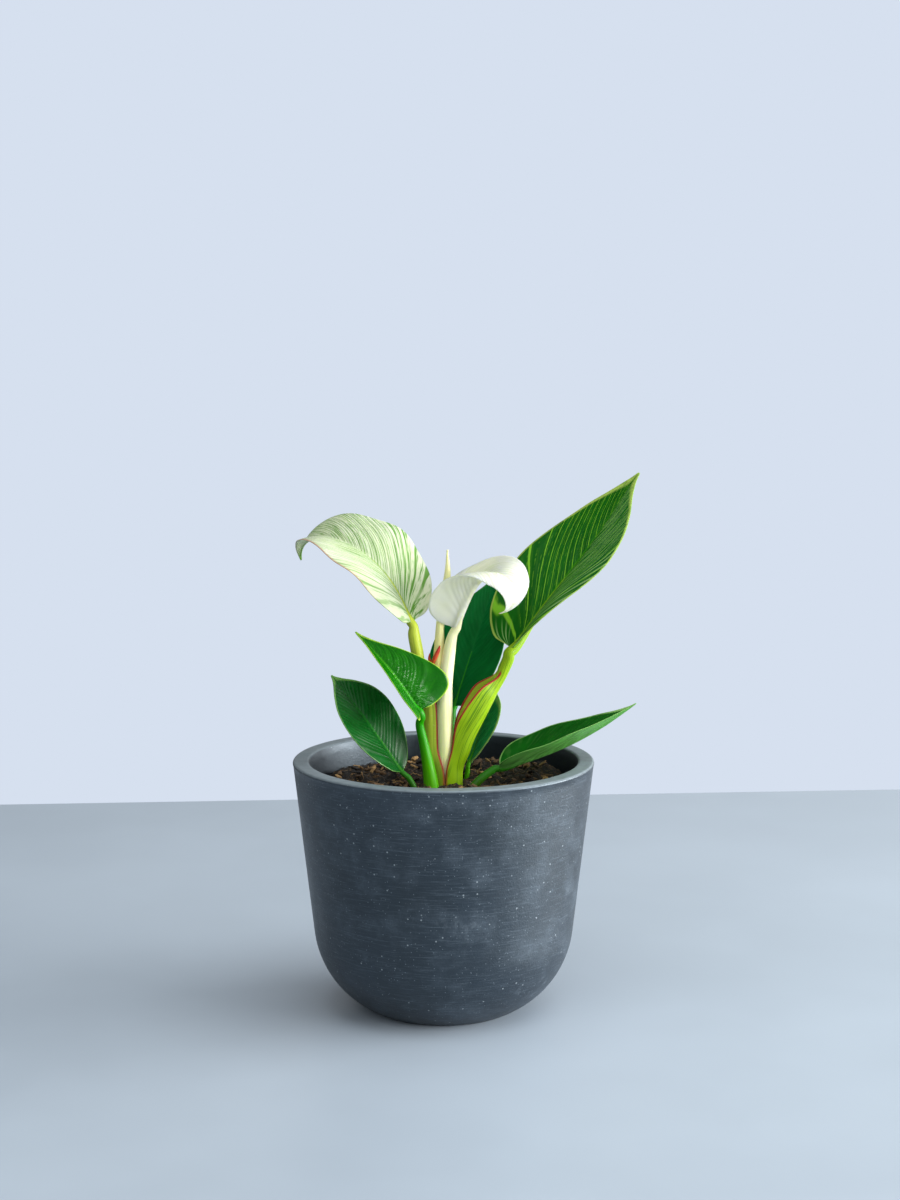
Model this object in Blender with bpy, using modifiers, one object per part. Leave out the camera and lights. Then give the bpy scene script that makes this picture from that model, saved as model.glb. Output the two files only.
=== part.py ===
"""Potted philodendron birkin: a round-bottomed pot, its soil, eight leaves on their stalks and one rolled leaf.

Lengths are in millimetres and angles in degrees, turned into metres where the geometry is made. The origin
is the middle of the pot's underside, +Z is up and -Y faces the front."""
from math import asin, cos, pi, radians, sin, sqrt, tan

import bpy
import numpy as np

MM = 0.001

# Pot
RIM_RADIUS = 55.5
POT_HEIGHT = 92.9
WALL = 5.9
SIDE_TAPER = 6.65
BOWL_TOP = 28.7
BOWL_RADIUS = 36.0
FLOOR_THICKNESS = 6.5
EDGE_ROUND = 0.9
POT_STEPS = 56

# Soil
SOIL_LEVEL = 83.6
SOIL_GAP = 0.42
SOIL_EDGE_DROP = 2.2
EDGE_DROP_FROM = 0.86
SOIL_SIDE_DEPTH = 8
SOIL_RINGS = [6, 11, 16, 21, 26, 31, 36, 41, 45.5]
# Lumps of bark and coir: x, y, radius, height
LUMPS = [
    (38, 14, 7, 5.0), (15.5, -1.2, 4.5, -2.2), (27, 24, 6, 3.4), (41, -4, 5, 3.2), (30, 4, 5, 2.2),
    (20, -16, 6, 1.8), (33, -17, 5, 2.4), (15, 29, 7, 2.6), (-4, 33, 7, 1.8), (-22, 20, 6, 2.6),
    (-30, 4, 6, 2.8), (-24, -12, 6, 2.4), (-37, 18, 5, 1.6), (-14, -26, 6, 1.6), (8, -27, 7, 1.4),
    (-17, 8, 5, 2.2), (16, 12, 4, 2.0), (-38, -8, 5, -3.0), (2, -40, 6, -2.6), (-26, -30, 6, -2.0),
    (26, -32, 6, -1.2),
]

# Stalks
STALK_SIDES = 12
HOLE_SIDES = 20
HOLE_CLEAR = 0.45
HOLE_LENGTH = 16
CLUSTER_RADIUS = 4.9
CLUSTER_STRETCH = 1.5

# Blades
BLADE_THICKNESS = 0.7
RIB_THICKNESS = 1.5
BLADE_ROWS = 16
BLADE_COLUMNS = 4
# How rows lean forward from the midrib, and how their reach towards the margin grows
ROW_LEAN = 1.15
ROW_SWEEP = 1.5

# Margin of a blade: share of its length, share of its half-width
OUTLINE = [(0, 0.10), (0.012, 0.42), (0.07, 0.75), (0.18, 0.95), (0.34, 1.0), (0.54, 0.86),
           (0.72, 0.57), (0.86, 0.26), (0.95, 0.085), (1.0, 0.02)]
# How far the two lobes beside the stalk reach back, as a share of the length
LOBE = [0, 0.075, 0.05, 0.015, 0, 0, 0, 0, 0, 0]

# Each blade starts "at" its stalk and runs towards "heading" (0 is +X, 90 is +Y), rising by "rise" and rolled
# about its own length. "bend", "sweep" and "twist" turn it over its length: downwards, to its left, about
# itself. "fold" lifts each half from the midrib and "curl" rounds it. "middle" moves the widest point and
# "taper" slims the margin. Lists are spread evenly from the stalk to the tip.
BLADES = {
    "blade_arched_cream": dict(
        at=(-11.5, 0, 144.1), heading=175, rise=68, roll=30, length=68, left=17.8, right=18.9,
        bend=[28, 100, 100, 102, 245, 600], fold_left=16, fold_right=31, curl_left=-22, curl_right=-26,
        lobe=0.25, middle=0.72, taper=1.03, wave=0.7, waves=3.2, colour=(0.62, 0.70, 0.44)),
    "blade_hooded_white": dict(
        at=(4.3, -1, 141.7), heading=-21, rise=68, roll=0, length=53.3, left=16.7, right=15.6,
        bend=[10, 54, 275, 452, 335], twist=[2, -34, -11, -58], sweep=[-32, -32, 7],
        fold_left=[73, 33, 11, 9], fold_right=[70, 44, 4, 7], curl_left=[17, -51], curl_right=[-30, -37],
        lobe=0.1, middle=1, taper=1, wave=0, waves=1, colour=(0.86, 0.88, 0.72)),
    "blade_striped_tall": dict(
        at=(25.2, 3, 133.7), heading=28.3, rise=50.4, roll=-11.7, length=85.4, left=20.9, right=20.2,
        bend=[19.3, 24.3, -12, -31.3, 5.7], sweep=[6.3, 8.8, 8.1, 5.7, -24.5, -94.4],
        fold_left=[34, 22, 11.7], fold_right=[41.2, 15.2, 6.4], curl_left=-4.6, curl_right=-7.9,
        lobe=0.24, middle=0.82, taper=0.98, wave=0.3, waves=2.4, colour=(0.06, 0.22, 0.07)),
    "blade_back_green": dict(
        at=(3.9, 13, 110.4), heading=51, rise=62, roll=-9, length=55.5, left=15.5, right=15.5,
        bend=[6, 4, 0], sweep=0, fold_left=15, fold_right=16, curl_left=0, curl_right=0,
        lobe=0.1, middle=0.88, taper=1.06, wave=0.3, waves=2, colour=(0.03, 0.15, 0.07)),
    "blade_left_middle": dict(
        at=(-8.5, -9, 112.1), heading=193, rise=58, roll=51, length=37.6, left=12.9, right=15.6,
        bend=[18, 28, 16], sweep=-4, fold_left=30, fold_right=25, curl_left=13, curl_right=10,
        lobe=0.3, middle=1.7, taper=1.05, wave=0.3, waves=2, colour=(0.10, 0.32, 0.08)),
    "blade_left_low": dict(
        at=(-15.1, -9, 90.1), heading=179, rise=58, roll=43, length=43.5, left=12.3, right=12.4,
        bend=[16, 8, 3], sweep=1, fold_left=14, fold_right=12, curl_left=-3, curl_right=0,
        lobe=0.3, middle=0.56, taper=1.08, wave=0.2, waves=2, colour=(0.04, 0.20, 0.06)),
    "blade_back_small": dict(
        at=(9.5, 10, 89.5), heading=44, rise=62, roll=-6, length=29.8, left=9, right=9,
        bend=[0, -3, 0], sweep=1, fold_left=15, fold_right=16, curl_left=0, curl_right=0,
        lobe=0.8, middle=0.43, taper=1.05, wave=0.2, waves=2, colour=(0.04, 0.20, 0.08)),
    "blade_right_low": dict(
        at=(20.9, 0, 89.7), heading=-3, rise=17, roll=-7, length=55.7, left=12, right=12,
        bend=[-4, -30, -5], sweep=6, fold_left=28, fold_right=33, curl_left=2, curl_right=-3,
        lobe=0, middle=1, taper=1.06, wave=0.3, waves=2.5, colour=(0.04, 0.18, 0.07)),
}

# Round stalks: x, y, z, radius from the foot up. The last points are added where the blade starts, "clear"
# of it, with the radius "end".
STALKS = {
    "stalk_hooded_white": dict(
        blade="blade_hooded_white", end=1.7, clear=0.9, colour=(0.80, 0.80, 0.45),
        path=[(0.6, 0, 76, 2.7), (0.6, 0, 80, 2.7), (0.6, 0, 84, 2.7), (0.3, 0, 98, 2.8), (0.2, 0, 112, 2.85),
              (0.3, 0, 121, 2.7), (1.5, -0.3, 129, 1.95), (2.6, -0.6, 136, 1.85)]),
    "stalk_back_green": dict(
        blade="blade_back_green", end=1.2, clear=0.45, colour=(0.18, 0.40, 0.08),
        path=[(2.2, 9, 76, 1.5), (2.2, 9, 80, 1.5), (2.3, 9, 84, 1.5), (3.0, 10, 96, 1.3),
              (3.4, 11.5, 106, 1.2)]),
    "stalk_left_middle": dict(
        blade="blade_left_middle", end=1.4, clear=0.8, colour=(0.28, 0.55, 0.05),
        path=[(-4.4, -6.8, 76, 2.75), (-4.4, -6.8, 80, 2.75), (-4.5, -6.8, 84, 2.75), (-5.6, -6.9, 92, 2.2),
              (-7.3, -7.2, 100.5, 1.75), (-8.7, -7.8, 107, 1.5)]),
    "stalk_left_low": dict(
        blade="blade_left_low", end=1.0, clear=0.45, colour=(0.10, 0.22, 0.05),
        path=[(-10.0, -9.4, 77, 1.1), (-10.4, -9.3, 80.5, 1.1), (-10.8, -9.2, 84, 1.1),
              (-12.6, -9.1, 87.4, 1.05)]),
    "stalk_back_small": dict(
        blade="blade_back_small", end=0.8, clear=0.45, colour=(0.18, 0.36, 0.08),
        path=[(8.2, 9.2, 76, 1.0), (8.3, 9.3, 79, 1.0), (8.5, 9.5, 82, 1.0), (8.9, 9.7, 86, 0.9)]),
    "stalk_right_low": dict(
        blade="blade_right_low", end=1.35, clear=0.45, colour=(0.08, 0.24, 0.06),
        path=[(10.0, -2.6, 77, 1.6), (10.6, -2.3, 80, 1.6), (11.4, -1.9, 83, 1.6), (14.4, -1.0, 86, 1.5),
              (17.6, -0.3, 88.2, 1.4)]),
}
# The unopened leaf: x, y, z, radius. Its foot stands in the sheath of the arched leaf's stalk.
SPEAR = [(-4.2, 0.9, 111, 0.5), (-4.1, 0.9, 115, 0.8), (-3.9, 0.7, 121, 1.05), (-2.6, 0.5, 127, 1.2),
         (-1.9, 0.5, 131.5, 1.5), (-1.4, 0.5, 136.5, 1.7), (-1.3, 0.6, 141.5, 1.55), (-0.8, 0.7, 148, 1.35),
         (0.9, 0.8, 157, 1.4), (1.5, 0.8, 162, 1.1), (1.5, 0.8, 166.5, 0.6), (1.5, 0.8, 170.2, 0.35)]

# Stalks with an open sheath at the foot: x, y, z, radius, how far the sheath is open (1) or closed (0), how
# far its wings reach back past the middle as a share of the radius, and how far its back turns to the left.
# "outward" is the heading of its back, away from the stalk that it wraps.
SHEATHS = {
    "stalk_striped_tall": dict(
        blade="blade_striped_tall", outward=0, end=1.9, clear=0.9, colour=(0.40, 0.55, 0.08),
        path=[(3.2, 0, 76, 3.9, 1, 0.42, 0), (3.2, 0, 80, 3.9, 1, 0.42, 0), (3.4, 0, 84, 3.9, 1, 0.42, 0),
              (5.1, 0, 90.4, 3.6, 1, 0.68, 0), (7.0, 0.2, 98, 3.5, 1, 1.0, 0),
              (9.2, 0.6, 103.4, 3.5, 1, 1.42, 4), (11.5, 1, 108.2, 3.6, 1, 1.5, 12),
              (15.4, 2, 115.7, 3.6, 1, 1.3, 20), (18.0, 2.6, 119.3, 2.9, 0.9, 1.2, 20),
              (20.6, 3, 122.8, 2.35, 0.5, 0.7, 15), (22.2, 3, 126, 2.3, 0.1, 0.3, 10),
              (23.8, 3, 129.5, 2.2, 0, 0, 0)]),
    "stalk_arched_cream": dict(
        blade="blade_arched_cream", outward=180, end=1.7, clear=0.8, colour=(0.42, 0.45, 0.14),
        path=[(-2.0, 0, 76, 3.9, 1, 0.42, 0), (-2.0, 0, 80, 3.9, 1, 0.42, 0),
              (-2.2, 0.1, 84, 3.9, 1, 0.42, 0), (-3.7, 0.5, 91, 3.6, 1, 0.42, 0),
              (-4.5, 0.8, 98, 3.5, 1, 0.42, 0), (-4.9, 0.9, 112, 3.4, 1, 0.42, 0),
              (-6.6, 0.6, 121, 3.1, 0.7, 0.42, 0), (-8.6, 0.3, 128, 2.5, 0.2, 0.42, 0),
              (-9.8, 0, 133.5, 2.3, 0, 0.42, 0), (-10.8, 0, 139, 2.2, 0, 0.42, 0)]),
}
# Section of a sheath, its radius taken as 1: half its width at the lips and the wall there, the half-width
# and depth of its hollow and the wall behind it. The back and the front of the stalk are arcs in degrees.
LIP_REACH = 0.93
LIP_WALL = 0.2
HOLLOW_WIDTH = 0.62
HOLLOW_DEPTH = 0.35
BACK_WALL = 0.75
BACK_ARC = 95
FRONT_ARC = (110, 235)


def spline(points, shares):
    """Smooth curve through the points, at shares of the way from the first to the last."""
    p = np.asarray(points, float)
    last = len(p) - 1
    p = np.vstack([2*p[0] - p[1], p, 2*p[-1] - p[-2]])
    t = np.clip(np.asarray(shares, float), 0, 1)*last
    i = np.minimum(t.astype(int), last - 1)
    f = (t - i)[:, None]
    a, b, c, d = p[i], p[i + 1], p[i + 2], p[i + 3]
    return 0.5*((2*b) + (c - a)*f + (2*a - 5*b + 4*c - d)*f**2 + (3*b - a - 3*c + d)*f**3)


def spread(values, shares):
    """A value, or a list spread evenly from 0 to 1, at each share."""
    values = np.atleast_1d(np.asarray(values, float))
    return np.interp(shares, np.linspace(0, 1, len(values)), values)


def turned(vector, axis, angle):
    return vector*cos(angle) + np.cross(axis, vector)*sin(angle) + axis*np.dot(axis, vector)*(1 - cos(angle))


def blade_start(leaf):
    """Direction of the midrib and of the upper face where the blade starts."""
    yaw, pitch, roll = (radians(leaf[key]) for key in ("heading", "rise", "roll"))
    along = np.array([cos(pitch)*cos(yaw), cos(pitch)*sin(yaw), sin(pitch)])
    level = np.array([-sin(pitch)*cos(yaw), -sin(pitch)*sin(yaw), cos(pitch)])
    return along, cos(roll)*level + sin(roll)*np.cross(level, along)


def midrib(leaf, shares, steps=60):
    """Points, directions, lefts and normals of the midrib at shares of its length."""
    along, normal = blade_start(leaf)
    point = np.array(leaf["at"], float)
    rows = []
    for i in range(steps + 1):
        rows.append(np.concatenate([point, along, np.cross(normal, along), normal]))
        bend, sweep, twist = (
            radians(spread(leaf.get(key, 0), i/steps))/steps for key in ("bend", "sweep", "twist"))
        ahead = along*cos(bend) - normal*sin(bend)
        normal = normal*cos(bend) + along*sin(bend)
        ahead = turned(ahead, normal, sweep)
        normal = turned(normal, ahead, twist)
        point = point + (along + ahead)/2*leaf["length"]/steps
        along, normal = ahead/np.linalg.norm(ahead), normal/np.linalg.norm(normal)
    rows = np.array(rows)
    inside = np.clip(shares, 0, 1)
    found = np.stack([np.interp(inside, np.linspace(0, 1, steps + 1), rows[:, k]) for k in range(12)], -1)
    points, along, left, normal = (found[..., k:k + 3] for k in (0, 3, 6, 9))
    return points + along*((shares - inside)*leaf["length"])[..., None], along, left, normal


def blade_grid(leaf, rows, columns):
    """Upper face of a blade: rows follow the side veins, columns run from the right margin to the left."""
    shares = np.linspace(0, 1, rows + 1)
    margin = np.array(OUTLINE, float)
    margin[:, 0] = margin[:, 0]**leaf["middle"] - leaf["lobe"]*np.array(LOBE)
    margin[:, 1] = margin[:, 1]**leaf["taper"]
    margin = spline(margin, shares)
    across = np.linspace(-1, 1, 2*columns + 1)
    far = np.abs(across)
    centre = shares**ROW_LEAN
    place = centre[:, None] + (margin[:, 0] - centre)[:, None]*far**ROW_SWEEP
    half = np.where(across < 0, leaf["right"], leaf["left"])
    reach = margin[:, 1][:, None]*far*half
    points, _, left, normal = midrib(leaf, place)

    def sided(key):
        right, left = (spread(leaf[key + side], place) for side in ("_right", "_left"))
        return np.radians(np.where(across < 0, right, left))

    fold, curl = sided("fold"), sided("curl")*reach/half
    flat = np.abs(curl) < 1e-6
    safe = np.where(flat, 1, curl)
    straight = np.where(flat, 1, np.sin(safe)/safe)
    round_off = np.where(flat, curl/2, (1 - np.cos(safe))/safe)
    out = reach*(np.cos(fold)*straight - np.sin(fold)*round_off)
    lift = reach*(np.sin(fold)*straight + np.cos(fold)*round_off)
    side = np.sign(across)
    lift = lift + leaf["wave"]*(reach/half)**2*np.sin(2*pi*leaf["waves"]*place + 0.8*side)
    return points + left*(out*side)[..., None] + normal*lift[..., None]


def material(name, colour, roughness):
    made = bpy.data.materials.new(name)
    made.use_nodes = True
    shader = made.node_tree.nodes["Principled BSDF"]
    shader.inputs["Base Color"].default_value = (*colour, 1)
    shader.inputs["Roughness"].default_value = roughness
    shader.inputs["Metallic"].default_value = 0
    made.diffuse_color = (*colour, 1)
    return made


def add_object(name, data, collection, surface=None):
    obj = bpy.data.objects.new(name, data)
    collection.objects.link(obj)
    if surface:
        data.materials.append(surface)
    return obj


def mesh_from(name, points, faces):
    mesh = bpy.data.meshes.new(name)
    mesh.from_pydata((np.asarray(points, float)*MM).tolist(), [], faces)
    mesh.update()
    return mesh


def grid_faces(rows, columns, closed=False):
    """Four-sided faces over points laid out row by row, closed round each row where asked."""
    faces = []
    for r in range(rows - 1):
        for c in range(columns if closed else columns - 1):
            d = (c + 1) % columns
            faces.append((r*columns + c, r*columns + d, (r + 1)*columns + d, (r + 1)*columns + c))
    return faces


def add_blade(name, leaf, collection):
    grid = blade_grid(leaf, BLADE_ROWS, BLADE_COLUMNS)
    rows, columns = grid.shape[:2]
    obj = add_object(name, mesh_from(name, grid.reshape(-1, 3), [f[::-1] for f in grid_faces(rows, columns)]),
                     collection, material(name, leaf["colour"], 0.35))
    rib = obj.vertex_groups.new(name="rib")
    thin = BLADE_THICKNESS/RIB_THICKNESS
    for r in range(rows):
        for c in range(columns):
            near = 1.0 if c == BLADE_COLUMNS else 0.0
            rib.add([r*columns + c], thin + (1 - thin)*near*(1 - r/(rows - 1)), "REPLACE")
    facets = obj.modifiers.new("facets", "TRIANGULATE")
    facets.quad_method = "FIXED"
    thick = obj.modifiers.new("thickness", "SOLIDIFY")
    thick.thickness = RIB_THICKNESS*MM
    thick.offset = -1
    thick.vertex_group = "rib"
    return obj


def blade_end(spec):
    """The last two points of a stalk: it stops just short of its blade, in line with the midrib."""
    leaf = BLADES[spec["blade"]]
    along, _ = blade_start(leaf)
    start = np.array(leaf["at"], float)
    return [start - along*(spec["clear"] + 1.6), start - along*spec["clear"]]


def add_round_stalk(name, path, colour, collection, steps):
    """A curve with a round bevel, its radius set at each point."""
    path = spline(path, np.linspace(0, 1, steps + 1))
    curve = bpy.data.curves.new(name, "CURVE")
    curve.dimensions = "3D"
    curve.bevel_depth = MM
    curve.bevel_resolution = (STALK_SIDES - 4)//2
    curve.use_fill_caps = True
    line = curve.splines.new("POLY")
    line.points.add(len(path) - 1)
    for point, (x, y, z, radius) in zip(line.points, path):
        point.co = (x*MM, y*MM, z*MM, 1)
        point.radius = radius
    return add_object(name, curve, collection, material(name, colour, 0.4))


def sheath_section(wing, opened):
    """Closed outline of a sheath, open towards -u and of radius 1. At opened 0 it is the round stalk."""
    def arc(start, end, count):
        return [(cos(radians(a)), sin(radians(a))) for a in np.linspace(start, end, count)]

    back = arc(-BACK_ARC, BACK_ARC, 9)
    inner_lip = LIP_REACH - LIP_WALL
    hollow = [(1 - BACK_WALL - HOLLOW_DEPTH*f*f, HOLLOW_WIDTH*f) for f in np.linspace(1, -1, 5)]
    hollow = [(-wing, LIP_REACH), (-wing, inner_lip)] + hollow + [(-wing, -inner_lip)]
    sheath = np.array([(-wing, -LIP_REACH)] + back + hollow)
    stalk = np.array(arc(-FRONT_ARC[0], -FRONT_ARC[0], 1) + back + arc(*FRONT_ARC, 8))
    return stalk + (sheath - stalk)*min(max(opened, 0), 1)


def add_sheathed_stalk(name, spec, collection, steps=26):
    """A loft from an open sheath at the foot to a round stalk at the blade."""
    tail = [(*p, spec["end"], 0, 0, 0) for p in blade_end(spec)]
    path = spline(spec["path"] + tail, np.linspace(0, 1, steps + 1))
    points = []
    for i, (x, y, z, radius, opened, wing, facing) in enumerate(path):
        before, after = path[max(i - 1, 0), :3], path[min(i + 1, steps), :3]
        along = (after - before)/np.linalg.norm(after - before)
        turn = radians(spec["outward"] + facing)
        outward = np.array((cos(turn), sin(turn), 0))
        outward = outward - along*np.dot(outward, along)
        outward = outward/np.linalg.norm(outward)
        across = np.cross(along, outward)
        form = sheath_section(wing, opened)
        points += [np.array((x, y, z)) + radius*(u*outward + v*across) for u, v in form]
    sides = len(points)//(steps + 1)
    faces = grid_faces(steps + 1, sides, closed=True)
    faces.append(tuple(reversed(range(sides))))
    faces.append(tuple(range(steps*sides, (steps + 1)*sides)))
    return add_object(name, mesh_from(name, points, faces), collection, material(name, spec["colour"], 0.4))


def bowl_arc(radius, low, steps):
    """Points down the round bottom, from the side wall to the height "low", at a radius from its centre."""
    taper = radians(SIDE_TAPER)
    side = RIM_RADIUS - (POT_HEIGHT - BOWL_TOP)*tan(taper)
    centre_x, centre_z = side - BOWL_RADIUS*cos(taper), BOWL_TOP + BOWL_RADIUS*sin(taper)
    first, last = -taper, -asin((centre_z - low)/radius)
    return [(centre_x + radius*cos(a), centre_z + radius*sin(a)) for a in np.linspace(first, last, steps)]


def wall_radius(z, inset=0.0):
    """Radius of the straight side at a height, moved inwards by an inset across the wall."""
    taper = radians(SIDE_TAPER)
    return RIM_RADIUS - (POT_HEIGHT - z)*tan(taper) - inset/cos(taper)


def add_pot(collection):
    """Turned profile: inner floor, inner wall, rim, outer wall, flat foot."""
    inside = bowl_arc(BOWL_RADIUS - WALL, FLOOR_THICKNESS, 7)
    outside = bowl_arc(BOWL_RADIUS, 0, 8)
    rim = []
    for centre, start, end in ((wall_radius(POT_HEIGHT, WALL) + EDGE_ROUND, 180, 90),
                               (RIM_RADIUS - EDGE_ROUND, 90, -SIDE_TAPER)):
        rim += [(centre + EDGE_ROUND*cos(radians(a)), POT_HEIGHT - EDGE_ROUND + EDGE_ROUND*sin(radians(a)))
                for a in np.linspace(start, end, 4)]
    profile = [(0, FLOOR_THICKNESS)] + inside[::-1] + rim + outside + [(0, 0)]
    mesh = bpy.data.meshes.new("pot")
    mesh.from_pydata([(x*MM, 0, z*MM) for x, z in profile], [(i, i + 1) for i in range(len(profile) - 1)], [])
    obj = add_object("pot", mesh, collection, material("pot", (0.12, 0.135, 0.155), 0.55))
    turn = obj.modifiers.new("turn", "SCREW")
    turn.steps = turn.render_steps = POT_STEPS
    turn.use_merge_vertices = True
    turn.merge_threshold = 0.00001
    turn.use_smooth_shade = True
    return obj


def soil_height(x, y):
    """Top of the soil: lumps on a level that falls away beside the wall."""
    height = SOIL_LEVEL + 0.5*sin(0.31*x + 1.1)*cos(0.27*y)
    height += 0.35*sin(0.83*x + 0.6*y) + 0.3*cos(0.9*y - 0.35*x)
    for cx, cy, radius, lift in LUMPS:
        height += lift*np.exp(-((x - cx)**2 + (y - cy)**2)/radius**2)
    edge = sqrt(x*x + y*y)/wall_radius(SOIL_LEVEL, WALL)
    return height - SOIL_EDGE_DROP*max(0.0, edge - EDGE_DROP_FROM)/(1 - EDGE_DROP_FROM)


def add_soil(collection, cutters):
    """One solid that fills the pot, with plain holes for the stalks."""
    lining = bowl_arc(BOWL_RADIUS - WALL - SOIL_GAP, FLOOR_THICKNESS + SOIL_GAP, 5)
    side = SOIL_LEVEL - SOIL_SIDE_DEPTH
    lower = [(wall_radius(side, WALL + SOIL_GAP), side)] + lining
    rings = SOIL_RINGS + [wall_radius(SOIL_LEVEL - SOIL_EDGE_DROP, WALL + SOIL_GAP)]
    points = [(0, 0, soil_height(0, 0))]
    for radius in rings:
        for k in range(POT_STEPS):
            a = 2*pi*k/POT_STEPS
            x, y = radius*cos(a), radius*sin(a)
            points.append((x, y, soil_height(x, y)))
    for radius, z in lower:
        points += [(radius*cos(2*pi*k/POT_STEPS), radius*sin(2*pi*k/POT_STEPS), z) for k in range(POT_STEPS)]
    points.append((0, 0, FLOOR_THICKNESS + SOIL_GAP))
    count = len(rings) + len(lower)
    faces = [(0, 1 + k, 1 + (k + 1) % POT_STEPS) for k in range(POT_STEPS)]
    faces += [tuple(i + 1 for i in face[::-1]) for face in grid_faces(count, POT_STEPS, closed=True)]
    last, end = 1 + (count - 1)*POT_STEPS, len(points) - 1
    faces += [(end, last + (k + 1) % POT_STEPS, last + k) for k in range(POT_STEPS)]
    obj = add_object("soil", mesh_from("soil", points, faces), collection,
                     material("soil", (0.075, 0.045, 0.028), 0.95))

    def hole(name, foot, top, radius, stretch=1.0):
        """Round cutter from under the foot of a stalk to above the soil, stretched along X where asked."""
        foot, top = np.array(foot, float), np.array(top, float)
        along = (top - foot)/np.linalg.norm(top - foot)
        u = np.cross((0, 1, 0), along)
        u = u/np.linalg.norm(u)
        v = np.cross(along, u)
        ends = (foot - along*0.5, foot + along*HOLE_LENGTH)
        circle = [2*pi*k/HOLE_SIDES for k in range(HOLE_SIDES)]
        ring = [end + radius*(stretch*cos(a)*u + sin(a)*v) for end in ends for a in circle]
        sides = grid_faces(2, HOLE_SIDES, closed=True)
        sides += [tuple(reversed(range(HOLE_SIDES))), tuple(range(HOLE_SIDES, 2*HOLE_SIDES))]
        cutter = add_object(name, mesh_from(name, ring, sides), cutters)
        cutter.hide_render = True
        cutter.display_type = "WIRE"
        cut = obj.modifiers.new(name, "BOOLEAN")
        cut.operation = "DIFFERENCE"
        cut.solver = "EXACT"
        cut.object = cutter

    for name, spec in STALKS.items():
        foot, ground = spec["path"][0], spec["path"][2]
        if name == "stalk_hooded_white":
            hole("hole_cluster", foot[:3], ground[:3], CLUSTER_RADIUS, CLUSTER_STRETCH)
        else:
            hole("hole_" + name, foot[:3], ground[:3], foot[3] + HOLE_CLEAR)
    return obj


def build():
    for obj in list(bpy.data.objects):
        bpy.data.objects.remove(obj, do_unlink=True)
    scene = bpy.context.scene
    plant = bpy.data.collections.new("philodendron_birkin")
    cutters = bpy.data.collections.new("cutters")
    cutters.hide_render = True
    scene.collection.children.link(plant)
    scene.collection.children.link(cutters)
    add_pot(plant)
    add_soil(plant, cutters)
    for name, leaf in BLADES.items():
        add_blade(name, leaf, plant)
    for name, spec in STALKS.items():
        tail = [(*p, spec["end"]) for p in blade_end(spec)]
        add_round_stalk(name, spec["path"] + tail, spec["colour"], plant, 3*(len(spec["path"]) + 1))
    for name, spec in SHEATHS.items():
        add_sheathed_stalk(name, spec, plant)
    add_round_stalk("unopened_leaf", SPEAR, (0.78, 0.74, 0.35), plant, 20)


build()
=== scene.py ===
import random
from math import asin, cos, pi, radians, sin, sqrt, tan

import bpy
import numpy as np
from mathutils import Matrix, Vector, noise
from numpy.linalg import norm


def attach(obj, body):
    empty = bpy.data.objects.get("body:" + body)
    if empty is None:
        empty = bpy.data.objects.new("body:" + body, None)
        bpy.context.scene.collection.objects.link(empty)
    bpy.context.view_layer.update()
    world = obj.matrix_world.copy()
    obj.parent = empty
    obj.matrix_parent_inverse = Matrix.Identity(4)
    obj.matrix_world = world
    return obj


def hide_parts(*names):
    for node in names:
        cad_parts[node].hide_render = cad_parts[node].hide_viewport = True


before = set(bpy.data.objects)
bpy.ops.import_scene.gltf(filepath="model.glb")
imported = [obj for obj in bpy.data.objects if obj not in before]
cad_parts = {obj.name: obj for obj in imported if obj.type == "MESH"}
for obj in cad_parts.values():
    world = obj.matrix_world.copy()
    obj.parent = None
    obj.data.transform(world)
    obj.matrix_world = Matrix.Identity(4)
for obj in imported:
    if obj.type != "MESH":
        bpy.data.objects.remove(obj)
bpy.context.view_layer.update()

MM = 0.001
SEED = 7

# Pot and soil, as in the solids
RIM_RADIUS = 55.5
POT_HEIGHT = 92.9
WALL = 5.9
SIDE_TAPER = 6.65
BOWL_TOP = 28.7
BOWL_RADIUS = 36
FLOOR_THICKNESS = 6.5
EDGE_ROUND = 0.9
POT_SIDES = 192
SOIL_LEVEL = 83.6
SOIL_GAP = 0.42
SOIL_EDGE_DROP = 2.2
EDGE_DROP_FROM = 0.86
SOIL_SIDES = 260
SOIL_RINGS = 96
# Lumps and hollows of the soil: x, y, radius, height
LUMPS = [
    (38, 14, 7, 5), (15.5, -1.2, 4.5, -2.2), (27, 24, 6, 3.4), (41, -4, 5, 3.2), (30, 4, 5, 2.2),
    (20, -16, 6, 1.8), (33, -17, 5, 2.4), (15, 29, 7, 2.6), (-4, 33, 7, 1.8), (-22, 20, 6, 2.6),
    (-30, 4, 6, 2.8), (-24, -12, 6, 2.4), (-37, 18, 5, 1.6), (-14, -26, 6, 1.6), (8, -27, 7, 1.4),
    (-17, 8, 5, 2.2), (16, 12, 4, 2), (-38, -8, 5, -3), (2, -40, 6, -2.6), (-26, -30, 6, -2),
    (26, -32, 6, -1.2),
]

# Loose bark and coir, and the ellipses round the stalks that stay clear of them: half axes squared
CHIPS = 620
CHIP_SIZES = [0.5, 0.6, 0.7, 0.8, 1, 1.2, 1.5, 2]
CHIPS_CLEAR = (90, 50)
FIBRES = 150
FIBRES_CLEAR = (110, 70)

# Blades: the same form as the solids, on a finer grid. Its rows are closer at the stalk along the midrib, and
# sweep out to the margin.
BLADE_ROWS = 80
BLADE_COLUMNS = 18
ROW_LEAN = 1.15
ROW_SWEEP = 1.5
MIDRIB_STEPS = 60
# Thickness at the margin and inside it, depth of the groove over the midrib and of the ridge under it
EDGE_THICK = 0.24
BODY_THICK = 0.5
GROOVE = 0.35
RIDGE = 0.75
# Side veins that quilt a blade, and the depth of that, where a blade doesn't have its own
QUILT_VEINS = 9
QUILT = 0.1
QUILTS = {
    "blade_left_low": 0.03, "blade_back_green": 0.03, "blade_striped_tall": 0.06, "blade_left_middle": 0.08,
}
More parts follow.
